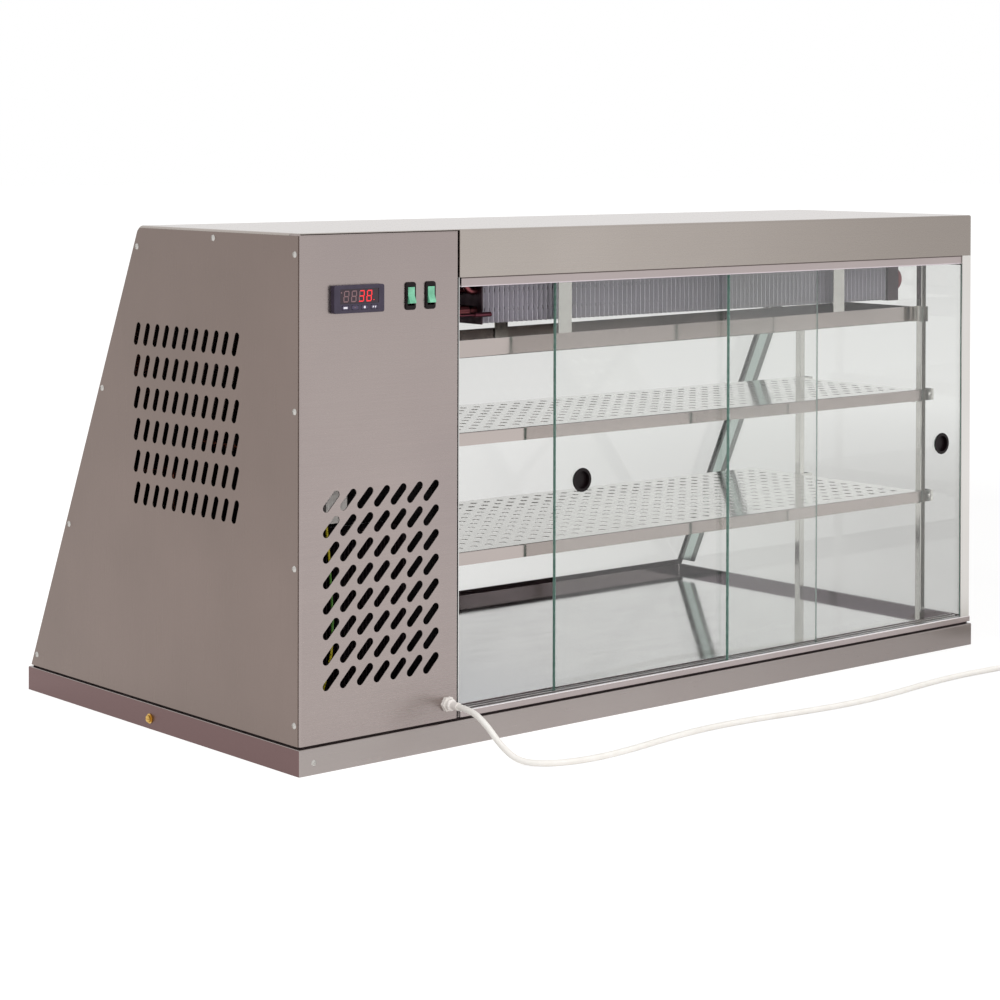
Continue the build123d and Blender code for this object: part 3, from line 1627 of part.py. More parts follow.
def make_terminal_block():
    """White terminal block on the bar over the condenser, with its wire entries."""
    x, y, z = terminal_place()
    wide, tall = terminal_size
    body = block(x, x + wide, y, condenser_front - fit_gap, z + 2, z + 2 + tall)
    body = fillet(body.edges().filter_by(Axis.Y), 1.5)
    for index in range(3):
        body -= rod_z(x + 6 + terminal_pitch * index, y + 8, z + 30, z + 3 + tall, terminal_entry)
    return body


def make_earth_wire():
    """Green and yellow wire from the terminal block down to the base deck."""
    x, y, z = terminal_place()
    points = (
        (x + 6, y + 8, z + 1.6), (x + 6, y + 2, z - 38), (x + 3, y - 9, z - 106),
        (x + 1, y - 9, z - 146), (x - 6, y, base_height + 48), (x - 6, y + 3, base_height + 0.4),
    )
    return pipe(points, earth_wire_diameter, 20.0)


def make_earth_screw():
    """Brass earth terminal on the base's left wall: screw, washer and nut inside."""
    y, z = earth_screw_place
    diameter, thick = earth_washer
    washer = rod_x(-thick, 0, y, z, diameter)
    top = -thick - earth_head_height
    head = rod_x(top, -thick, y, z, earth_screw_head)
    head = fillet(head.edges().group_by(Axis.X)[0], 1.2)
    head -= block(top - 1, top + 1, y - 5, y + 5, z - 0.6, z + 0.6)
    across, tall = earth_nut
    nut = extrude(Plane.YZ.offset(sheet) * Pos(y, z) * RegularPolygon(across, 6), tall)
    return washer + head + rod_x(-thick, earth_screw_length, y, z, earth_screw_diameter) + nut


def place(shape):
    """From the case's left front bottom corner to the middle of its underside."""
    return Pos(-case_length / 2, -case_depth / 2, 0) * shape


def save(name, shape):
    """Write one sub-part. A list of solids is a group of separate pieces in one file."""
    solids = shape if isinstance(shape, list) else [shape]
    placed = []
    for solid in solids:
        placed += place(solid).solids()
    part = placed[0] if len(placed) == 1 else Compound(children=placed)
    part.label = name
    export_step(part, f"parts/{name}.step")


def all_parts():
    """Every sub-part by name."""
    inner_cup_x = inner_door_left + cup_from_edge
    outer_cup_x = outer_door_right - cup_from_edge
    keys = [make_key(x) for x in key_places()]
    return {
        "base_plinth": make_base_plinth(),
        "base_underplate": make_base_underplate(),
        "foam_insulation": make_foam_insulation(),
        "base_gasket": make_base_gasket(),
        "inner_tray": make_inner_tray(),
        "left_side_panel": make_left_side_panel(),
        "compartment_front_panel": make_compartment_front_panel(),
        "compartment_back_panel": make_compartment_back_panel(),
        "partition_liner": make_partition_liner(),
        "roof": make_roof(),
        "ceiling_liner": make_ceiling_liner(),
        "upper_door_track": make_upper_door_track(),
        "lower_door_track": make_lower_door_track(),
        "right_post": make_right_post(),
        "side_glass": make_side_glass(),
        "rear_glass": make_rear_glass(),
        "glass_channels": make_glass_channels(),
        "corner_profile": make_corner_profile(),
        "inner_door_glass": make_door(inner_door_left, inner_door_y, inner_cup_x, inner_cup_height),
        "inner_door_finger_cup": make_finger_cup(inner_cup_x, inner_door_y, inner_cup_height),
        "outer_door_glass": make_door(outer_door_left, outer_door_y, outer_cup_x, outer_cup_height),
        "outer_door_finger_cup": make_finger_cup(outer_cup_x, outer_door_y, outer_cup_height),
        "shelf_posts": make_shelf_posts(),
        "upper_shelf": make_shelf(upper_shelf_top, upper_shelf_depth),
        "lower_shelf": make_shelf(lower_shelf_top, lower_shelf_depth),
        "shelf_rails": make_shelf_rails(),
        "shelf_clamps": make_shelf_clamps(),
        "screws": make_screws(),
        "evaporator_fins": make_evaporator_fins(),
        "evaporator_end_plates": make_evaporator_end_plates(),
        "evaporator_tubes": make_evaporator_tubes(),
        "drip_pan": make_drip_pan(),
        "pan_straps": make_pan_straps(),
        "drain_tube": make_drain_tube(),
        "temperature_probe": make_temperature_probe(),
        "lamp_strip": make_lamp_strip(),
        "controller_housing": make_controller_housing(),
        "controller_window": make_controller_window(),
        "set_key": keys[0],
        "lamp_key": keys[1],
        "down_key": keys[2],
        "up_key": keys[3],
        "switch_bodies": make_switch_bodies(),
        "main_switch_rocker": make_rocker(switch_centres[0]),
        "lamp_switch_rocker": make_rocker(switch_centres[1]),
        "cable_gland": make_cable_gland(),
        "mains_cord": make_mains_cord(),
        "mains_cord_coil": make_mains_cord_coil(),
        "mains_plug": make_mains_plug(),
        "plug_pins": make_plug_pins(),
        "compressor": make_compressor(),
        "compressor_feet": make_compressor_feet(),
        "condenser": make_condenser(),
        "fan_shroud": make_fan_shroud(),
        "fan_motor": make_fan_motor(),
        "fan_blade": make_fan_blade(),
        "refrigerant_pipes": make_refrigerant_pipes(),
        "terminal_block": make_terminal_block(),
        "earth_wire": make_earth_wire(),
        "earth_screw": make_earth_screw(),
    }


os.makedirs("parts", exist_ok=True)
for part_name, part_shape in all_parts().items():
    save(part_name, part_shape)
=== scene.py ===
import math

import bmesh
import bpy
from mathutils import Matrix, Vector


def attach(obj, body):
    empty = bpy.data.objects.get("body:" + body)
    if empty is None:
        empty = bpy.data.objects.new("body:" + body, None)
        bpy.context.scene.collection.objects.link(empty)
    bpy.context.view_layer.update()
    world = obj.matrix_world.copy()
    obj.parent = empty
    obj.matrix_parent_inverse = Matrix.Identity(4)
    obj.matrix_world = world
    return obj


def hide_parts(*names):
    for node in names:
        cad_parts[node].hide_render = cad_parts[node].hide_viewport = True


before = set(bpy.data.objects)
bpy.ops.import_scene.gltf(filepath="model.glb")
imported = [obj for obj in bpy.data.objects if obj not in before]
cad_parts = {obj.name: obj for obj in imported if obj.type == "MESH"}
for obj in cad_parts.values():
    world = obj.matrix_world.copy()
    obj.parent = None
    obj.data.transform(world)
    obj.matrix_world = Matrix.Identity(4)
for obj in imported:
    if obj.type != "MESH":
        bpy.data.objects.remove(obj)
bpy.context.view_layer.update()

# Case sizes, in millimetres from its left front bottom corner, as the drawing has them
CASE_LENGTH = 1180.0
CASE_DEPTH = 600.0
CASE_HEIGHT = 612.0
ROOF_DEPTH = 341.0
BASE_HEIGHT = 30.3
MM = 0.001

# Photograph's frame
PICTURE = 1000
SENSOR = 36.0


def at(x, y, z):
    """A point of the drawing, in metres in the frame's own axes."""
    return Vector(((x - CASE_LENGTH / 2) * MM, (y - CASE_DEPTH / 2) * MM, z * MM))


# Camera: yaw turns the view to the right of +Y, pitch looks down
focal_pixels = 2538.9
camera_yaw = math.radians(40.463)
camera_pitch = math.radians(0.909)
camera_roll = math.radians(0.143)
camera_place = at(-1674.3, -2308.2, 719.2)
axis_above_middle = 321.3

look = Vector((
    math.sin(camera_yaw) * math.cos(camera_pitch),
    math.cos(camera_yaw) * math.cos(camera_pitch),
    -math.sin(camera_pitch),
))
level_right = Vector((math.cos(camera_yaw), -math.sin(camera_yaw), 0))
level_up = level_right.cross(look)
right = level_right * math.cos(camera_roll) + level_up * math.sin(camera_roll)
up = level_up * math.cos(camera_roll) - level_right * math.sin(camera_roll)
camera_data = bpy.data.cameras.new("camera")
camera_data.sensor_width = SENSOR
camera_data.lens = focal_pixels * SENSOR / PICTURE
camera_data.shift_y = -axis_above_middle / PICTURE
camera = bpy.data.objects.new("camera", camera_data)
bpy.context.scene.collection.objects.link(camera)
turn = Matrix((right, up, -look)).transposed().to_4x4()
camera.matrix_world = Matrix.Translation(camera_place) @ turn
bpy.context.scene.camera = camera
bpy.context.scene.view_settings.view_transform = "Standard"


def srgb(code, alpha=1.0):
    """A hex colour as linear red, green and blue."""
    channels = [int(code[i:i + 2], 16) / 255 for i in (1, 3, 5)]
    linear = [c / 12.92 if c <= 0.04045 else ((c + 0.055) / 1.055) ** 2.4 for c in channels]
    return (*linear, alpha)


def per_metre(size_mm):
    """A texture's scale for a pattern of this size."""
    return 1000.0 / size_mm


def add(tree, kind, inputs=None, **settings):
    """Adds one node with its settings. An input is a value, or the socket that it is linked from."""
    node = tree.nodes.new(kind)
    for name, value in settings.items():
        setattr(node, name, value)
    for name, value in (inputs or {}).items():
        socket = node.inputs[name]
        if isinstance(value, bpy.types.NodeSocket):
            tree.links.new(value, socket)
        else:
            socket.default_value = value
    return node


def new_material(name):
    """An empty node material and its tree."""
    material = bpy.data.materials.new(name)
    material.use_nodes = True
    material.node_tree.nodes.clear()
    return material, material.node_tree


def close_tree(tree, shader):
    """Sends a shader to the material's output."""
    add(tree, "ShaderNodeOutputMaterial", {"Surface": shader.outputs[0]})


def object_noise(tree, size_mm, stretch=(1, 1, 1), detail=3.0):
    """Noise of a real size on object coordinates, drawn out along an axis for a grain."""
    place = add(tree, "ShaderNodeTexCoord").outputs["Object"]
    mapped = add(tree, "ShaderNodeMapping", {"Vector": place, "Scale": stretch})
    return add(tree, "ShaderNodeTexNoise", {
        "Vector": mapped.outputs["Vector"], "Scale": per_metre(size_mm), "Detail": detail,
    })


def spread(tree, source, low, high):
    """A texture's middle values spread between two numbers."""
    return add(tree, "ShaderNodeMapRange", {
        "Value": source, "From Min": 0.3, "From Max": 0.7, "To Min": low, "To Max": high,
    }).outputs["Result"]


def blend_colours(tree, share, first, second):
    """Two colours mixed by a texture. Each is a colour, or the socket that it comes from."""
    return add(tree, "ShaderNodeMix", {0: share, 6: first, 7: second}, data_type="RGBA").outputs[2]


def along(tree, direction):
    """Distance in millimetres along a direction, as the drawing counts it."""
    place = add(tree, "ShaderNodeTexCoord").outputs["Object"]
    dot = add(tree, "ShaderNodeVectorMath", {0: place, 1: direction}, operation="DOT_PRODUCT")
    corner = CASE_LENGTH / 2 * direction[0] + CASE_DEPTH / 2 * direction[1]
    return add(tree, "ShaderNodeMath", {
        0: dot.outputs["Value"], 1: 1000.0, 2: corner,
    }, operation="MULTIPLY_ADD").outputs[0]


def band(tree, direction, low, high):
    """1 on the band between two distances along a direction, and 0 beside it."""
    distance = along(tree, direction)
    above = add(tree, "ShaderNodeMath", {0: distance, 1: low}, operation="GREATER_THAN").outputs[0]
    below = add(tree, "ShaderNodeMath", {0: distance, 1: high}, operation="LESS_THAN").outputs[0]
    return add(tree, "ShaderNodeMath", {0: above, 1: below}, operation="MULTIPLY").outputs[0]


def bump(tree, height, depth_mm, strength=1.0):
    """A bump of a real depth."""
    return add(tree, "ShaderNodeBump", {
        "Height": height, "Distance": depth_mm * MM, "Strength": strength,
    }).outputs["Normal"]


def drift(tree, direction, low, high):
    """An even rise from 0 to 1 between two distances along a direction."""
    return add(tree, "ShaderNodeMapRange", {
        "Value": along(tree, direction), "From Min": low, "From Max": high,
    }, interpolation_type="SMOOTHSTEP").outputs["Result"]


def facing(tree, direction):
    """1 where a surface looks along a direction, and 0 elsewhere."""
    normal = add(tree, "ShaderNodeTexCoord").outputs["Normal"]
    dot = add(tree, "ShaderNodeVectorMath", {0: normal, 1: direction}, operation="DOT_PRODUCT")
    return add(tree, "ShaderNodeMath", {
        0: dot.outputs["Value"], 1: 0.85,
    }, operation="GREATER_THAN").outputs[0]


def coloured_by_place(tree, colour, bands=(), drifts=(), sides=(), graded_sides=()):
    """A colour changed by place. A band or drift is a direction, its two limits in millimetres and
    a colour. A side is the direction that it looks in, and its colour. A graded side is the direction
    that it looks in, then a drift's direction and limits, and its colour at each limit."""
    for direction, low, high, code in drifts:
        colour = blend_colours(tree, drift(tree, direction, low, high), colour, srgb(code))
    for direction, code in sides:
        colour = blend_colours(tree, facing(tree, direction), colour, srgb(code))
    for side, direction, low, high, first, last in graded_sides:
        graded = blend_colours(tree, drift(tree, direction, low, high), srgb(first), srgb(last))
        colour = blend_colours(tree, facing(tree, side), colour, graded)
    for direction, low, high, code in bands:
        colour = blend_colours(tree, band(tree, direction, low, high), colour, srgb(code))
    return colour


def sheet_metal(name, light, dark, roughness, grain, metallic=1.0, **places):
    """Stainless or aluminium sheet, ground or anodised: a satin sheen with a fine straight grain.
    The grain lines are 0.2 mm in truth and drawn 1.5 mm wide, so that they show faintly."""
    material, tree = new_material(name)
    lines = object_noise(tree, 1.5, grain, 4.0).outputs["Fac"]
    clouds = object_noise(tree, 180.0).outputs["Fac"]
    colour = blend_colours(tree, spread(tree, clouds, 0, 1), srgb(light), srgb(dark))
    close_tree(tree, add(tree, "ShaderNodeBsdfPrincipled", {
        "Base Color": coloured_by_place(tree, colour, **places),
        "Metallic": metallic,
        "Roughness": spread(tree, lines, roughness - 0.03, roughness + 0.04),
        "Normal": bump(tree, lines, 0.002, 0.6),
    }))
    return material


def mirror_steel(name, light, dark, roughness, wave_mm=0.15, **places):
    """Bright-annealed stainless: mirror-like, with a slight waviness and faint wipe marks."""
    material, tree = new_material(name)
    waves = object_noise(tree, 90.0, detail=1.0).outputs["Fac"]
    wipes = object_noise(tree, 25.0, (0.3, 1, 1), 4.0).outputs["Fac"]
    colour = blend_colours(tree, spread(tree, wipes, 0, 1), srgb(light), srgb(dark))
    close_tree(tree, add(tree, "ShaderNodeBsdfPrincipled", {
        "Base Color": coloured_by_place(tree, colour, **places),
        "Metallic": 1.0,
        "Roughness": spread(tree, wipes, roughness, roughness + 0.05),
        "Normal": bump(tree, waves, wave_mm, 0.3),
    }))
    return material


def moulded_plastic(name, light, dark, roughness, grit_mm=0.6, coat=0.0, depth_mm=0.01, specular=0.5):
    """Injection-moulded plastic: a fine spark-eroded skin and a soft sheen."""
    material, tree = new_material(name)
    grit = object_noise(tree, grit_mm).outputs["Fac"]
    patches = object_noise(tree, 12.0).outputs["Fac"]
    close_tree(tree, add(tree, "ShaderNodeBsdfPrincipled", {
        "Base Color": blend_colours(tree, spread(tree, patches, 0, 1), srgb(light), srgb(dark)),
        "Roughness": spread(tree, patches, roughness - 0.04, roughness + 0.05),
        "Specular IOR Level": specular,
        "Coat Weight": coat,
        "Coat Roughness": 0.12,
        "Normal": bump(tree, grit, depth_mm, 0.5),
    }))
    return material


def drawn_metal(name, light, dark, roughness, blotch_mm, **places):
    """Drawn or rolled metal with light tarnish: copper pipe, brass pins, zinc-coated sheet."""
    material, tree = new_material(name)
    blotches = object_noise(tree, blotch_mm, detail=5.0).outputs["Fac"]
    colour = blend_colours(tree, spread(tree, blotches, 0, 1), srgb(light), srgb(dark))
    close_tree(tree, add(tree, "ShaderNodeBsdfPrincipled", {
        "Base Color": coloured_by_place(tree, colour, **places),
        "Metallic": 1.0,
        "Roughness": spread(tree, blotches, roughness - 0.05, roughness + 0.1),
        "Normal": bump(tree, blotches, 0.02, 0.3),
    }))
    return material


def float_glass(name, tint, edge_light, edge_dark, face_axis):
    """Float glass with ground edges: clear faces with a trace of green, deep green at the cut.
    face_axis is the direction that the big faces look in, and lamps shine through."""
    material, tree = new_material(name)
    clear = add(tree, "ShaderNodeBsdfPrincipled", {
        "Base Color": srgb(tint), "Roughness": 0.0, "IOR": 1.5, "Transmission Weight": 1.0,
    })
    grinding = object_noise(tree, 3.0).outputs["Fac"]
    cut = add(tree, "ShaderNodeBsdfPrincipled", {
        "Base Color": blend_colours(tree, spread(tree, grinding, 0, 1), srgb(edge_light), srgb(edge_dark)),
        "Roughness": 0.25, "IOR": 1.5, "Transmission Weight": 0.35,
    })
    normal = add(tree, "ShaderNodeTexCoord").outputs["Normal"]
    dot = add(tree, "ShaderNodeVectorMath", {0: face_axis, 1: normal}, operation="DOT_PRODUCT")
    size = add(tree, "ShaderNodeMath", {0: dot.outputs["Value"]}, operation="ABSOLUTE")
    is_cut = add(tree, "ShaderNodeMath", {0: size.outputs[0], 1: 0.8}, operation="LESS_THAN")
    pane = add(tree, "ShaderNodeMixShader", {
        0: is_cut.outputs[0], 1: clear.outputs[0], 2: cut.outputs[0],
    })
    through = add(tree, "ShaderNodeBsdfTransparent", {"Color": srgb(tint)})
    lamp_ray = add(tree, "ShaderNodeLightPath").outputs["Is Shadow Ray"]
    close_tree(tree, add(tree, "ShaderNodeMixShader", {
        0: lamp_ray, 1: pane.outputs[0], 2: through.outputs[0],
    }))
    return material


def lit_plastic(name, colour, glow):
    """A light-emitting segment behind its window."""
    material, tree = new_material(name)
    mottle = object_noise(tree, 0.8).outputs["Fac"]
    close_tree(tree, add(tree, "ShaderNodeBsdfPrincipled", {
        "Base Color": blend_colours(tree, spread(tree, mottle, 0, 0.4), srgb(colour), srgb("#3a0a0a")),
        "Roughness": 0.3, "Emission Color": srgb(colour), "Emission Strength": glow,
    }))
    return material


# Finishes. Directions are the drawing's: along the case, to its left end, up, and out of the sloped back
ALONG = (1.0, 0.0, 0.0)
TO_LEFT = (-1.0, 0.0, 0.0)
TO_FRONT = (0.0, -1.0, 0.0)
TO_BACK = (0.0, 1.0, 0.0)
UP = (0.0, 0.0, 1.0)
slope = math.atan((CASE_DEPTH - ROOF_DEPTH) / (CASE_HEIGHT - BASE_HEIGHT))
OUT_OF_BACK = (0.0, math.cos(slope), math.sin(slope))
rear_plane = CASE_DEPTH * math.cos(slope) + BASE_HEIGHT * math.sin(slope)

# Where a finish changes, and where painted shade and highlights lie, as distances along those directions
ROOF_SHADE = (300.0, 1250.0)
PLINTH_SHADE = (300.0, 1200.0)
SHELF_FRONT_FLANGE = (45.5, 47.0)
SHELF_HOLE_ROWS = (60.0, 260.0)
PAN_FLOOR = (62.5, 184.0)
TRAY_LEFT_SHADE = (-600.0, -260.0)
HEAD_TRACK_PAINTED_SHADOW = (553.2, 560.0)
HEAD_TRACK_PAINTED_HIGHLIGHT = (542.0, 544.4)
SILL_TRACK_PAINTED_HIGHLIGHT = (39.4, 41.0)
CORNER_OUTER_FLANGE = (rear_plane - 15.1, rear_plane)
CORNER_INNER_FLANGE = (rear_plane - 40.0, rear_plane - 30.0)
COIL_BETWEEN_PLATES = (336.0, 1085.0)
body_steel = sheet_metal("stainless_steel_ground", "#a39895", "#9e9391", 0.27, (0.02, 1, 1))
# Roof: painted shade that darkens it towards the case's right end, and a painted highlight that makes its
# top face lighter
roof_steel = sheet_metal(
    "stainless_steel_ground_roof", "#b1a9a3", "#aca49e", 0.27, (0.02, 1, 1),
    drifts=((ALONG, *ROOF_SHADE, "#958d87"),), sides=((UP, "#c6c0bd"),),
)
# Left side panel: the same ground stainless made darker, as painted shade on the side away from the light
side_steel_painted_shade = sheet_metal("stainless_steel_ground_upright_painted_shade", "#83756f", "#7d706a", 0.3, (1, 1, 0.02))
# Plinth: painted shade that darkens it towards the right end and on its face that looks to the left
plinth_steel = sheet_metal(
    "stainless_steel_ground_plinth", "#a59d9a", "#a19895", 0.3, (0.02, 1, 1),
    drifts=((ALONG, *PLINTH_SHADE, "#918986"),), sides=((TO_LEFT, "#725b5a"),),
)
post_steel = sheet_metal("stainless_steel_bright_post", "#d8d5d2", "#d2cfcb", 0.3, (1, 1, 0.02))
inner_steel = mirror_steel("stainless_steel_bright_annealed", "#cfcfcd", "#c8c8c6", 0.16)
tube_steel = mirror_steel("stainless_steel_polished_tube", "#d4d2cd", "#cbc9c4", 0.08)
# Shelves: the front-facing cut walls of the holes carry a painted light near the front and a painted shade
# towards the back, where the shade under the shelf would show; the band keeps the front flange at the
# steel's own colour
shelf_steel = mirror_steel(
    "stainless_steel_polished_shelf", "#b0ada8", "#a8a5a0", 0.08,
    graded_sides=((TO_FRONT, TO_BACK, *SHELF_HOLE_ROWS, "#e8e8e6", "#4c4846"),),
    bands=((TO_BACK, *SHELF_FRONT_FLANGE, "#b1a8a4"),),
)
# Drip pan: painted shade on its front-facing faces, and a deeper painted shade over its floor between the
# front and back rims
pan_steel = mirror_steel(
    "stainless_steel_polished_pan", "#d8d6d2", "#d0cecb", 0.1,
    sides=((TO_FRONT, "#b1a8a4"),), bands=((TO_BACK, *PAN_FLOOR, "#7f757a"),),
)
# Inner tray: painted shade that darkens it towards the left, and on its walls that face left and to the
# front
tray_steel = mirror_steel(
    "stainless_steel_polished_tray", "#b1afae", "#a9a7a6", 0.06, wave_mm=0.4,
    drifts=((TO_LEFT, *TRAY_LEFT_SHADE, "#a2a2a5"),),
    sides=((TO_LEFT, "#70656b"), (TO_FRONT, "#756c6d")),
)
# Head track: a painted shadow band just under the fascia, and a painted highlight band along its lower edge
head_track_metal = sheet_metal(
    "aluminium_anodised_head_track", "#b3a8a7", "#ada2a1", 0.35, (0.02, 1, 1),
    bands=((UP, *HEAD_TRACK_PAINTED_SHADOW, "#5f5552"), (UP, *HEAD_TRACK_PAINTED_HIGHLIGHT, "#d6ccd1")),
)
# Sill track: a painted highlight on its faces that look up, and a painted highlight band near its top edge
sill_track_metal = sheet_metal(
    "aluminium_anodised_sill_track", "#b3a8a7", "#ada2a1", 0.32, (0.02, 1, 1),
    sides=((UP, "#e9e5e4"),), bands=((UP, *SILL_TRACK_PAINTED_HIGHLIGHT, "#ece8e9"),),
)
fin_metal = sheet_metal("aluminium_fin_stock", "#f6f2fa", "#ebe6f0", 0.3, (1, 1, 0.1), metallic=0.0)
corner_metal = sheet_metal(
    "aluminium_corner_angle", "#c9d6d1", "#c1cfca", 0.3, (1, 1, 0.02),
    bands=(
        (OUT_OF_BACK, *CORNER_OUTER_FLANGE, "#7c807d"), (OUT_OF_BACK, *CORNER_INNER_FLANGE, "#7c807d"),
    ),
)
zinc_sheet = drawn_metal("galvanised_sheet", "#b6b9bb", "#9fa3a6", 0.38, 14.0)
# The coil's end plates: a darker, violet copy of the galvanised sheet
end_plate_sheet = drawn_metal("galvanised_sheet_dark_violet", "#5d4e55", "#4d4046", 0.5, 14.0)
# Condenser: fin stock coloured almost black as painted shade, for the dark compartment seen through the
# front slots
condenser_painted_shade = sheet_metal(
    "fin_stock_painted_shade_dark", "#33272b", "#2a2024", 0.6, (1, 1, 0.1), metallic=0.2
)
bulb_copper = drawn_metal("copper_bulb_reddened", "#6b3a44", "#5c323b", 0.35, 8.0)
copper = drawn_metal("copper_tube", "#c98a6e", "#a8604a", 0.3, 20.0)
coil_copper = drawn_metal(
    "copper_tube_darkened", "#8a5054", "#743f43", 0.35, 20.0,
    bands=((ALONG, *COIL_BETWEEN_PLATES, "#8f8b92"),),
)
brass = drawn_metal("brass", "#d9b56a", "#c39a4c", 0.28, 6.0)
screw_metal = drawn_metal("screw_steel", "#c9c6c2", "#b5b2ae", 0.22, 3.0)
black_abs = moulded_plastic("abs_black", "#150b0e", "#10080b", 0.45, specular=0.2)
controller_abs = moulded_plastic("abs_dark_violet_grey", "#352b40", "#2e2538", 0.45)
key_abs = moulded_plastic("abs_keys", "#463c55", "#3f364c", 0.5)
window_pmma = moulded_plastic("acrylic_smoked", "#2e1827", "#271521", 0.12, depth_mm=0.0)
green_lens = moulded_plastic("polycarbonate_green", "#7cc9a5", "#549f7d", 0.18, coat=0.6, grit_mm=2.0)
white_nylon = moulded_plastic("nylon_white", "#f1ece8", "#e9e3de", 0.42)
white_pvc = moulded_plastic("pvc_cord_white", "#f6f3ee", "#f0ece6", 0.4, grit_mm=1.5)
rubber = moulded_plastic("rubber_black", "#171515", "#1f1c1c", 0.7)
seal_rubber = moulded_plastic("rubber_seal", "#38282a", "#2e2022", 0.75)
shell_paint = moulded_plastic("enamel_black", "#121212", "#1a1a1a", 0.3, coat=0.5, grit_mm=3.0)
motor_paint = moulded_plastic("enamel_grey", "#55585a", "#4b4e50", 0.4)
foam = moulded_plastic("elastomer_foam_dark", "#2a2527", "#221e20", 0.85, grit_mm=1.2, depth_mm=0.3)
lamp_cover = moulded_plastic("polycarbonate_opal", "#efefec", "#e6e6e2", 0.35)
drain_plastic = moulded_plastic("pvc_clear_grey", "#b9bfc0", "#adb3b5", 0.3)
segment_lit = lit_plastic("led_segment_lit", "#e8262e", 0.9)
segment_off = moulded_plastic("led_segment_off", "#8a6a6e", "#7e6064", 0.4)
print_white = moulded_plastic("printed_mark_white", "#e9e6ee", "#dcd8e2", 0.5)
door_glass = float_glass("float_glass_door", "#f9faf9", "#9cc0b4", "#6a9c8d", (0, 1, 0))
side_pane_glass = float_glass("float_glass_side", "#f9faf9", "#a8cac0", "#7fa79b", (1, 0, 0))
rear_pane_glass = float_glass("float_glass_rear", "#f9faf9", "#6f9788", "#3f6b5e", OUT_OF_BACK)


def earth_wire_finish():
    """Two-colour PVC insulation: green with a yellow stripe."""
    material, tree = new_material("pvc_green_yellow")
    place = add(tree, "ShaderNodeTexCoord").outputs["Object"]
    stripe = add(tree, "ShaderNodeTexWave", {
        "Vector": place, "Scale": per_metre(14.0) / 20.0, "Distortion": 0.0,
    }, wave_type="BANDS", bands_direction="DIAGONAL")
    share = add(tree, "ShaderNodeMath", {0: stripe.outputs["Fac"], 1: 0.5}, operation="GREATER_THAN")
    close_tree(tree, add(tree, "ShaderNodeBsdfPrincipled", {
        "Base Color": blend_colours(tree, share.outputs[0], srgb("#dccb2c"), srgb("#5f9a3a")),
        "Roughness": 0.4,
    }))
    return material


finishes = {
    "base_plinth": plinth_steel, "base_underplate": zinc_sheet, "foam_insulation": foam,
    "base_gasket": seal_rubber, "inner_tray": tray_steel, "left_side_panel": side_steel_painted_shade,
    "compartment_front_panel": body_steel, "compartment_back_panel": body_steel,
    "partition_liner": inner_steel, "roof": roof_steel, "ceiling_liner": inner_steel,
    "upper_door_track": head_track_metal, "lower_door_track": sill_track_metal, "right_post": post_steel,
    "side_glass": side_pane_glass, "rear_glass": rear_pane_glass, "glass_channels": seal_rubber,
    "corner_profile": corner_metal, "inner_door_glass": door_glass,
    "inner_door_finger_cup": black_abs, "outer_door_glass": door_glass,
    "outer_door_finger_cup": black_abs, "shelf_posts": tube_steel, "upper_shelf": shelf_steel,
    "lower_shelf": shelf_steel, "shelf_rails": shelf_steel, "shelf_clamps": tube_steel,
    "screws": screw_metal, "evaporator_fins": fin_metal, "evaporator_end_plates": end_plate_sheet,
    "evaporator_tubes": coil_copper, "drip_pan": pan_steel, "pan_straps": tube_steel,
    "drain_tube": drain_plastic, "temperature_probe": bulb_copper, "lamp_strip": lamp_cover,
    "controller_housing": controller_abs, "controller_window": window_pmma, "set_key": key_abs,
    "lamp_key": key_abs, "down_key": key_abs, "up_key": key_abs, "switch_bodies": black_abs,
    "main_switch_rocker": green_lens, "lamp_switch_rocker": green_lens, "cable_gland": white_nylon,
    "mains_plug": white_pvc, "plug_pins": brass, "compressor": shell_paint,
    "compressor_feet": rubber, "condenser": condenser_painted_shade, "fan_shroud": zinc_sheet,
    "fan_motor": motor_paint, "fan_blade": fin_metal, "refrigerant_pipes": copper,
    "terminal_block": white_nylon, "earth_wire": earth_wire_finish(), "earth_screw": brass,
}
for node_name, finish in finishes.items():
    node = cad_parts[node_name]
    node.data.materials.clear()
    node.data.materials.append(finish)


# Mains cord: the drawing's route, then the put-away coil at the right, out of the picture
CORD_DIAMETER = 7.4
CORD_FLOOR = CORD_DIAMETER / 2 + 0.1
COIL_MIDDLE = (1240.0, -94.1)
COIL_INNER_RADIUS = 36.3
COIL_PITCH = 8.0
TURNS_IN = 2.0
TURNS_OUT = 1.25
TAIL = 25.0
PLUG_HALF_THICKNESS = 13.0
COIL_POINTS_PER_TURN = 16
cord_route = [
    (217.0, -18.0, 52.0), (217.0, -42.0, 52.0), (217.5, -68.0, 40.0), (219.0, -92.0, 20.0),
    (224.0, -114.0, 6.4), (237.0, -134.0, CORD_FLOOR), (263.0, -150.0, CORD_FLOOR),
    (306.0, -158.0, CORD_FLOOR), (366.0, -154.0, CORD_FLOOR), (436.0, -142.0, CORD_FLOOR),
    (511.0, -134.0, CORD_FLOOR), (591.0, -138.0, CORD_FLOOR), (671.0, -150.0, CORD_FLOOR),
    (751.0, -157.0, CORD_FLOOR), (831.0, -153.0, CORD_FLOOR), (909.0, -142.0, CORD_FLOOR),
    (986.0, -136.0, CORD_FLOOR), (1058.0, -139.5, CORD_FLOOR), (1122.0, -144.0, CORD_FLOOR),
    (1184.0, COIL_MIDDLE[1] - COIL_INNER_RADIUS - COIL_PITCH * TURNS_IN, CORD_FLOOR),
]


def smooth(share):
    """An even rise from 0 to 1 with level ends."""
    share = min(max(share, 0.0), 1.0)
    return share * share * (3 - 2 * share)


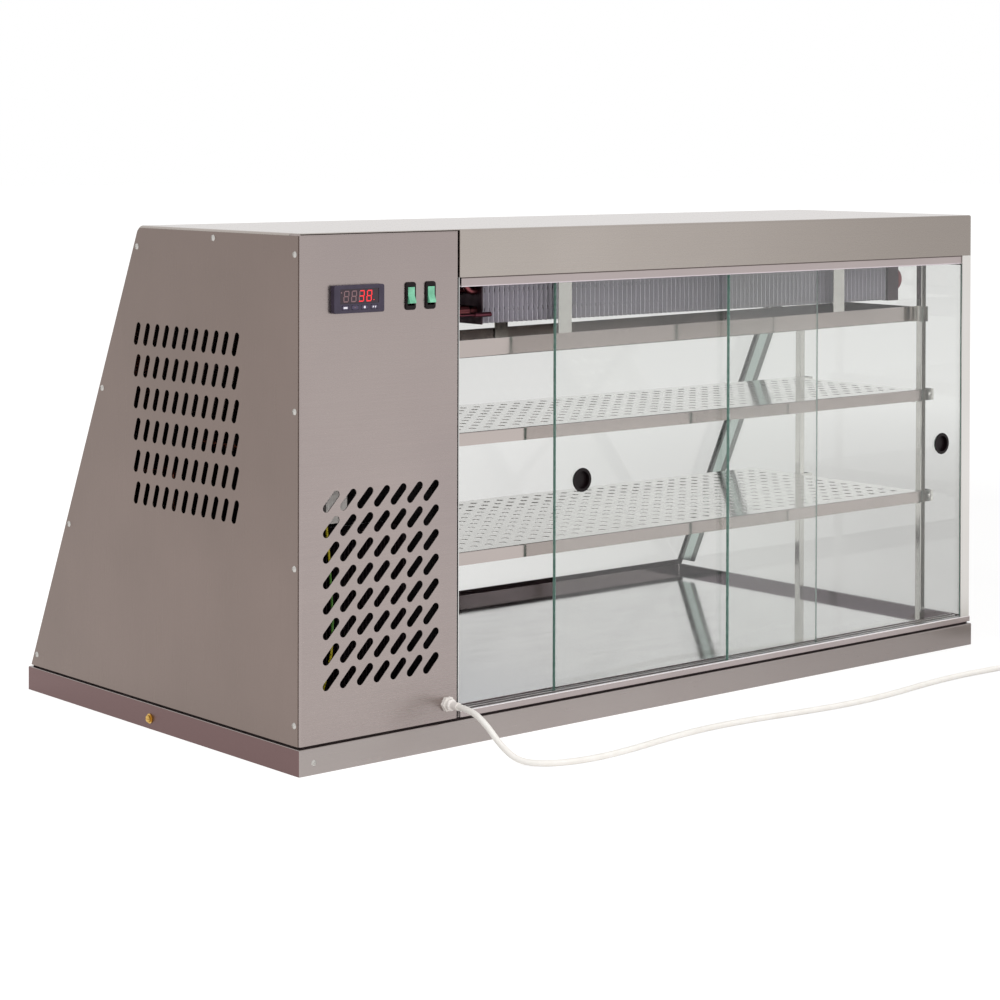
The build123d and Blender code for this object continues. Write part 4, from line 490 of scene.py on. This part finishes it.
def coil_point(turns):
    """A control point of the coil, after some turns in towards the middle and out again."""
    angle = 2 * math.pi * turns - math.pi / 2
    radius = COIL_INNER_RADIUS + COIL_PITCH * abs(turns - TURNS_IN)
    radius /= math.cos(math.pi / COIL_POINTS_PER_TURN) ** 0.5
    last = TURNS_IN + TURNS_OUT
    lift = COIL_PITCH * smooth((turns - TURNS_IN + 0.25) / 0.5)
    lift += (PLUG_HALF_THICKNESS - CORD_FLOOR - COIL_PITCH) * smooth((turns - last + 0.5) / 0.5)
    x = COIL_MIDDLE[0] + radius * math.cos(angle)
    y = COIL_MIDDLE[1] + radius * math.sin(angle)
    return (x, y, CORD_FLOOR + lift)


def make_cord():
    """The whole cord as one smooth curve from the gland to the plug."""
    steps = int((TURNS_IN + TURNS_OUT) * COIL_POINTS_PER_TURN)
    coil = [coil_point(step / COIL_POINTS_PER_TURN) for step in range(steps + 1)]
    end = coil[-1]
    points = cord_route + coil + [(end[0], end[1] + TAIL, end[2])]
    curve = bpy.data.curves.new("mains_cord_flex", "CURVE")
    curve.dimensions = "3D"
    curve.bevel_depth = CORD_DIAMETER / 2 * MM
    curve.bevel_resolution = 5
    curve.use_fill_caps = True
    spline = curve.splines.new("NURBS")
    spline.points.add(len(points) - 1)
    for control, point in zip(spline.points, points):
        control.co = (*at(*point), 1.0)
    spline.order_u = 3
    spline.use_endpoint_u = True
    spline.resolution_u = 8
    curve.materials.append(white_pvc)
    cord = bpy.data.objects.new("mains_cord_flex", curve)
    bpy.context.scene.collection.objects.link(cord)
    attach(cord, "case")
    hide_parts("mains_cord", "mains_cord_coil")


make_cord()


def make_piece(name, shape, material, body):
    """A finished mesh as a piece of a body."""
    mesh = bpy.data.meshes.new(name)
    shape.to_mesh(mesh)
    shape.free()
    mesh.materials.append(material)
    piece = bpy.data.objects.new(name, mesh)
    bpy.context.scene.collection.objects.link(piece)
    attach(piece, body)


def add_plate(shape, centre, size):
    """Adds a small plate to a shape."""
    made = bmesh.ops.create_cube(shape, size=1.0)["verts"]
    bmesh.ops.scale(shape, vec=[value * MM for value in size], verts=made)
    bmesh.ops.translate(shape, vec=at(*centre), verts=made)


# Display: four seven-segment digits behind the window, the right two lit
DIGIT_HEIGHT = 13.0
DIGIT_WIDTH = 7.4
DIGIT_PITCH = 10.95
DIGIT_LEAN = math.radians(8)
SEGMENT_WIDTH = 1.15
SEGMENT_GAP = 0.3
SEGMENT_THICKNESS = 0.12
DIGIT_Y = -2.45
DIGIT_Z = 539.0
FIRST_DIGIT_X = 63.5
PILOT_DOT_X = 56.6
PILOT_DOT_Z = 543.6
PILOT_DOT_WIDTH = 1.4
POINT_X = FIRST_DIGIT_X + 3.6 * DIGIT_PITCH
POINT_Z = 534.2
POINT_SIZE = (1.6, SEGMENT_THICKNESS, 0.7)
segment_places = {
    "a": (0, 0.5, True), "g": (0, 0, True), "d": (0, -0.5, True),
    "f": (-0.5, 0.25, False), "b": (0.5, 0.25, False), "e": (-0.5, -0.25, False), "c": (0.5, -0.25, False),
}
digits = (("abcdefg", ""), ("abcdefg", ""), ("abgcd", "fe"), ("abcdefg", ""))
lit_digits = (2, 3)


def add_segment(shape, digit, name):
    """Adds one bar of a digit, shifted by the digit's lean."""
    across, rise, level = segment_places[name]
    length = (DIGIT_WIDTH if level else DIGIT_HEIGHT / 2) - SEGMENT_WIDTH - SEGMENT_GAP
    wide, high = (length, SEGMENT_WIDTH) if level else (SEGMENT_WIDTH, length)
    z = rise * (DIGIT_HEIGHT - SEGMENT_WIDTH)
    x = across * (DIGIT_WIDTH - SEGMENT_WIDTH) + z * math.tan(DIGIT_LEAN)
    centre = (FIRST_DIGIT_X + digit * DIGIT_PITCH + x, DIGIT_Y, DIGIT_Z + z)
    add_plate(shape, centre, (wide, SEGMENT_THICKNESS, high))


def make_digits():
    """Lit segments and unlit segments, each set one piece, with the pilot dot and the decimal point."""
    lit = bmesh.new()
    unlit = bmesh.new()
    for digit, (bright, faint) in enumerate(digits):
        for name in bright:
            add_segment(lit if digit in lit_digits else unlit, digit, name)
        for name in faint:
            add_segment(unlit, digit, name)
    pilot_size = (PILOT_DOT_WIDTH, SEGMENT_THICKNESS, PILOT_DOT_WIDTH)
    add_plate(unlit, (PILOT_DOT_X, DIGIT_Y, PILOT_DOT_Z), pilot_size)
    add_plate(lit, (POINT_X, DIGIT_Y, POINT_Z), POINT_SIZE)
    make_piece("display_segments_lit", lit, segment_lit, "case")
    make_piece("display_segments_unlit", unlit, segment_off, "case")


make_digits()

# Key marks, printed: three white and one faint. Each is a place along the case, and a size
KEY_MARK_Y = -3.24
KEY_Z = 526.2
MARK_THICKNESS = 0.06
BAR_X = 61.8
BAR_SIZE = (5.6, MARK_THICKNESS, 2.2)
FAINT_BAR_X = 75.5
FAINT_BAR_SIZE = (2.6, MARK_THICKNESS, 0.5)
DOT_X = 89.2
DOT_RADIUS = 1.5
UP_TRIANGLE_X = 101.4
DOWN_TRIANGLE_X = 104.6
TRIANGLE_RADIUS = 1.7


def add_disc(shape, x, radius, sides, turned=0):
    """Adds a flat disc that faces the front, turned by some degrees. Three sides make a triangle."""
    made = bmesh.ops.create_circle(shape, cap_ends=True, segments=sides, radius=radius * MM)["verts"]
    upright = Matrix.Rotation(math.radians(90), 3, "X")
    facing_front = Matrix.Rotation(math.radians(turned), 3, "Y") @ upright
    bmesh.ops.rotate(shape, verts=made, cent=(0, 0, 0), matrix=facing_front)
    bmesh.ops.translate(shape, verts=made, vec=at(x, KEY_MARK_Y, KEY_Z))


def make_key_marks():
    """A bar, a faint bar, a dot and a pair of triangles, one on each key."""
    bar = bmesh.new()
    add_plate(bar, (BAR_X, KEY_MARK_Y, KEY_Z), BAR_SIZE)
    make_piece("set_key_mark", bar, print_white, "set_button")
    faint = bmesh.new()
    add_plate(faint, (FAINT_BAR_X, KEY_MARK_Y, KEY_Z), FAINT_BAR_SIZE)
    make_piece("lamp_key_mark", faint, segment_off, "lamp_button")
    dot = bmesh.new()
    add_disc(dot, DOT_X, DOT_RADIUS, 20)
    make_piece("down_key_mark", dot, print_white, "down_button")
    arrows = bmesh.new()
    add_disc(arrows, UP_TRIANGLE_X, TRIANGLE_RADIUS, 3)
    add_disc(arrows, DOWN_TRIANGLE_X, TRIANGLE_RADIUS, 3, turned=180)
    make_piece("up_key_mark", arrows, print_white, "up_button")


make_key_marks()


# Floor, lamps and the white surroundings. Metres, as the frame counts
FLOOR_HALF_SIZE = 30.0
# The floor's painted shadow beside the case's right end: its centre, turn and stretch, its darkest core and
# its reach
SHADE_CENTRE = (1.41, 0.25, 0.0)
SHADE_TURN = math.radians(49.5)
SHADE_STRETCH = (2.0, 1.0, 1.0)
SHADE_CORE = 0.25
SHADE_REACH = 1.2


def make_floor():
    """A plain pale floor that keeps a soft shadow. Seen directly and in metal it is brightened to white,
    and seen through glass it keeps more of its own grey, darkened by a painted shadow beside the case's
    right end."""
    material, tree = new_material("studio_floor")
    paper = object_noise(tree, 4.0).outputs["Fac"]
    pale_paper = blend_colours(tree, spread(tree, paper, 0, 1), srgb("#f4f3f2"), srgb("#f1f0ef"))
    # Painted shadow: the floor's colour darkens to a grey near the case's right end
    place = add(tree, "ShaderNodeTexCoord").outputs["Object"]
    from_right_end = add(tree, "ShaderNodeMapping", {
        "Vector": place, "Location": SHADE_CENTRE, "Rotation": (0.0, 0.0, SHADE_TURN),
        "Scale": SHADE_STRETCH,
    }, vector_type="TEXTURE")
    distance = add(tree, "ShaderNodeVectorMath", {0: from_right_end.outputs["Vector"]}, operation="LENGTH")
    nearness = add(tree, "ShaderNodeMapRange", {
        "Value": distance.outputs["Value"], "From Min": SHADE_CORE, "From Max": SHADE_REACH,
        "To Min": 1.0, "To Max": 0.0,
    }).outputs["Result"]
    pale = add(tree, "ShaderNodeBsdfDiffuse", {
        "Color": blend_colours(tree, nearness, pale_paper, srgb("#b3b1b0")),
    })
    glow = add(tree, "ShaderNodeEmission", {"Color": srgb("#ffffff"), "Strength": 1.35})
    path = add(tree, "ShaderNodeLightPath")
    any_view = add(tree, "ShaderNodeMath", {
        0: path.outputs["Is Camera Ray"], 1: path.outputs["Is Glossy Ray"],
    }, operation="MAXIMUM").outputs[0]
    all_white = add(tree, "ShaderNodeMath", {0: any_view, 1: 0.6}, operation="MULTIPLY").outputs[0]
    share = add(tree, "ShaderNodeMath", {
        0: path.outputs["Is Transmission Ray"], 1: -0.45, 2: all_white,
    }, operation="MULTIPLY_ADD", use_clamp=True)
    close_tree(tree, add(tree, "ShaderNodeMixShader", {
        0: share.outputs[0], 1: pale.outputs[0], 2: glow.outputs[0],
    }))
    shape = bmesh.new()
    bmesh.ops.create_grid(shape, x_segments=1, y_segments=1, size=FLOOR_HALF_SIZE)
    mesh = bpy.data.meshes.new("studio_floor")
    shape.to_mesh(mesh)
    shape.free()
    mesh.materials.append(material)
    floor = bpy.data.objects.new("studio_floor", mesh)
    bpy.context.scene.collection.objects.link(floor)


def make_world():
    """White seen directly, in metal and through glass; a gentler light on everything else."""
    world = bpy.data.worlds.new("studio_white")
    world.use_nodes = True
    tree = world.node_tree
    tree.nodes.clear()
    path = add(tree, "ShaderNodeLightPath")
    seen = add(tree, "ShaderNodeMath", {
        0: path.outputs["Is Camera Ray"], 1: path.outputs["Is Glossy Ray"],
    }, operation="MAXIMUM")
    any_view = add(tree, "ShaderNodeMath", {
        0: seen.outputs[0], 1: path.outputs["Is Transmission Ray"],
    }, operation="MAXIMUM")
    strength = add(tree, "ShaderNodeMapRange", {"Value": any_view.outputs[0], "To Min": 0.8, "To Max": 1.0})
    back = add(tree, "ShaderNodeBackground", {
        "Color": srgb("#ffffff"), "Strength": strength.outputs["Result"],
    })
    add(tree, "ShaderNodeOutputWorld", {"Surface": back.outputs[0]})
    bpy.context.scene.world = world


def make_lamp(name, place, target, size, watts):
    """A soft square lamp that looks at a point."""
    lamp_data = bpy.data.lights.new(name, "AREA")
    lamp_data.size = size
    lamp_data.energy = watts
    lamp = bpy.data.objects.new(name, lamp_data)
    bpy.context.scene.collection.objects.link(lamp)
    lamp.location = place
    lamp.rotation_euler = (Vector(target) - Vector(place)).to_track_quat("-Z", "Y").to_euler()
    lamp.visible_camera = False
    lamp.visible_glossy = False


make_floor()
make_world()
make_lamp("lamp_above", (-0.6, -0.6, 3.0), (0, 0, 0.3), 2.5, 30)
make_lamp("lamp_front", (0.2, -3.2, 1.6), (0, 0, 0.3), 2.0, 20)
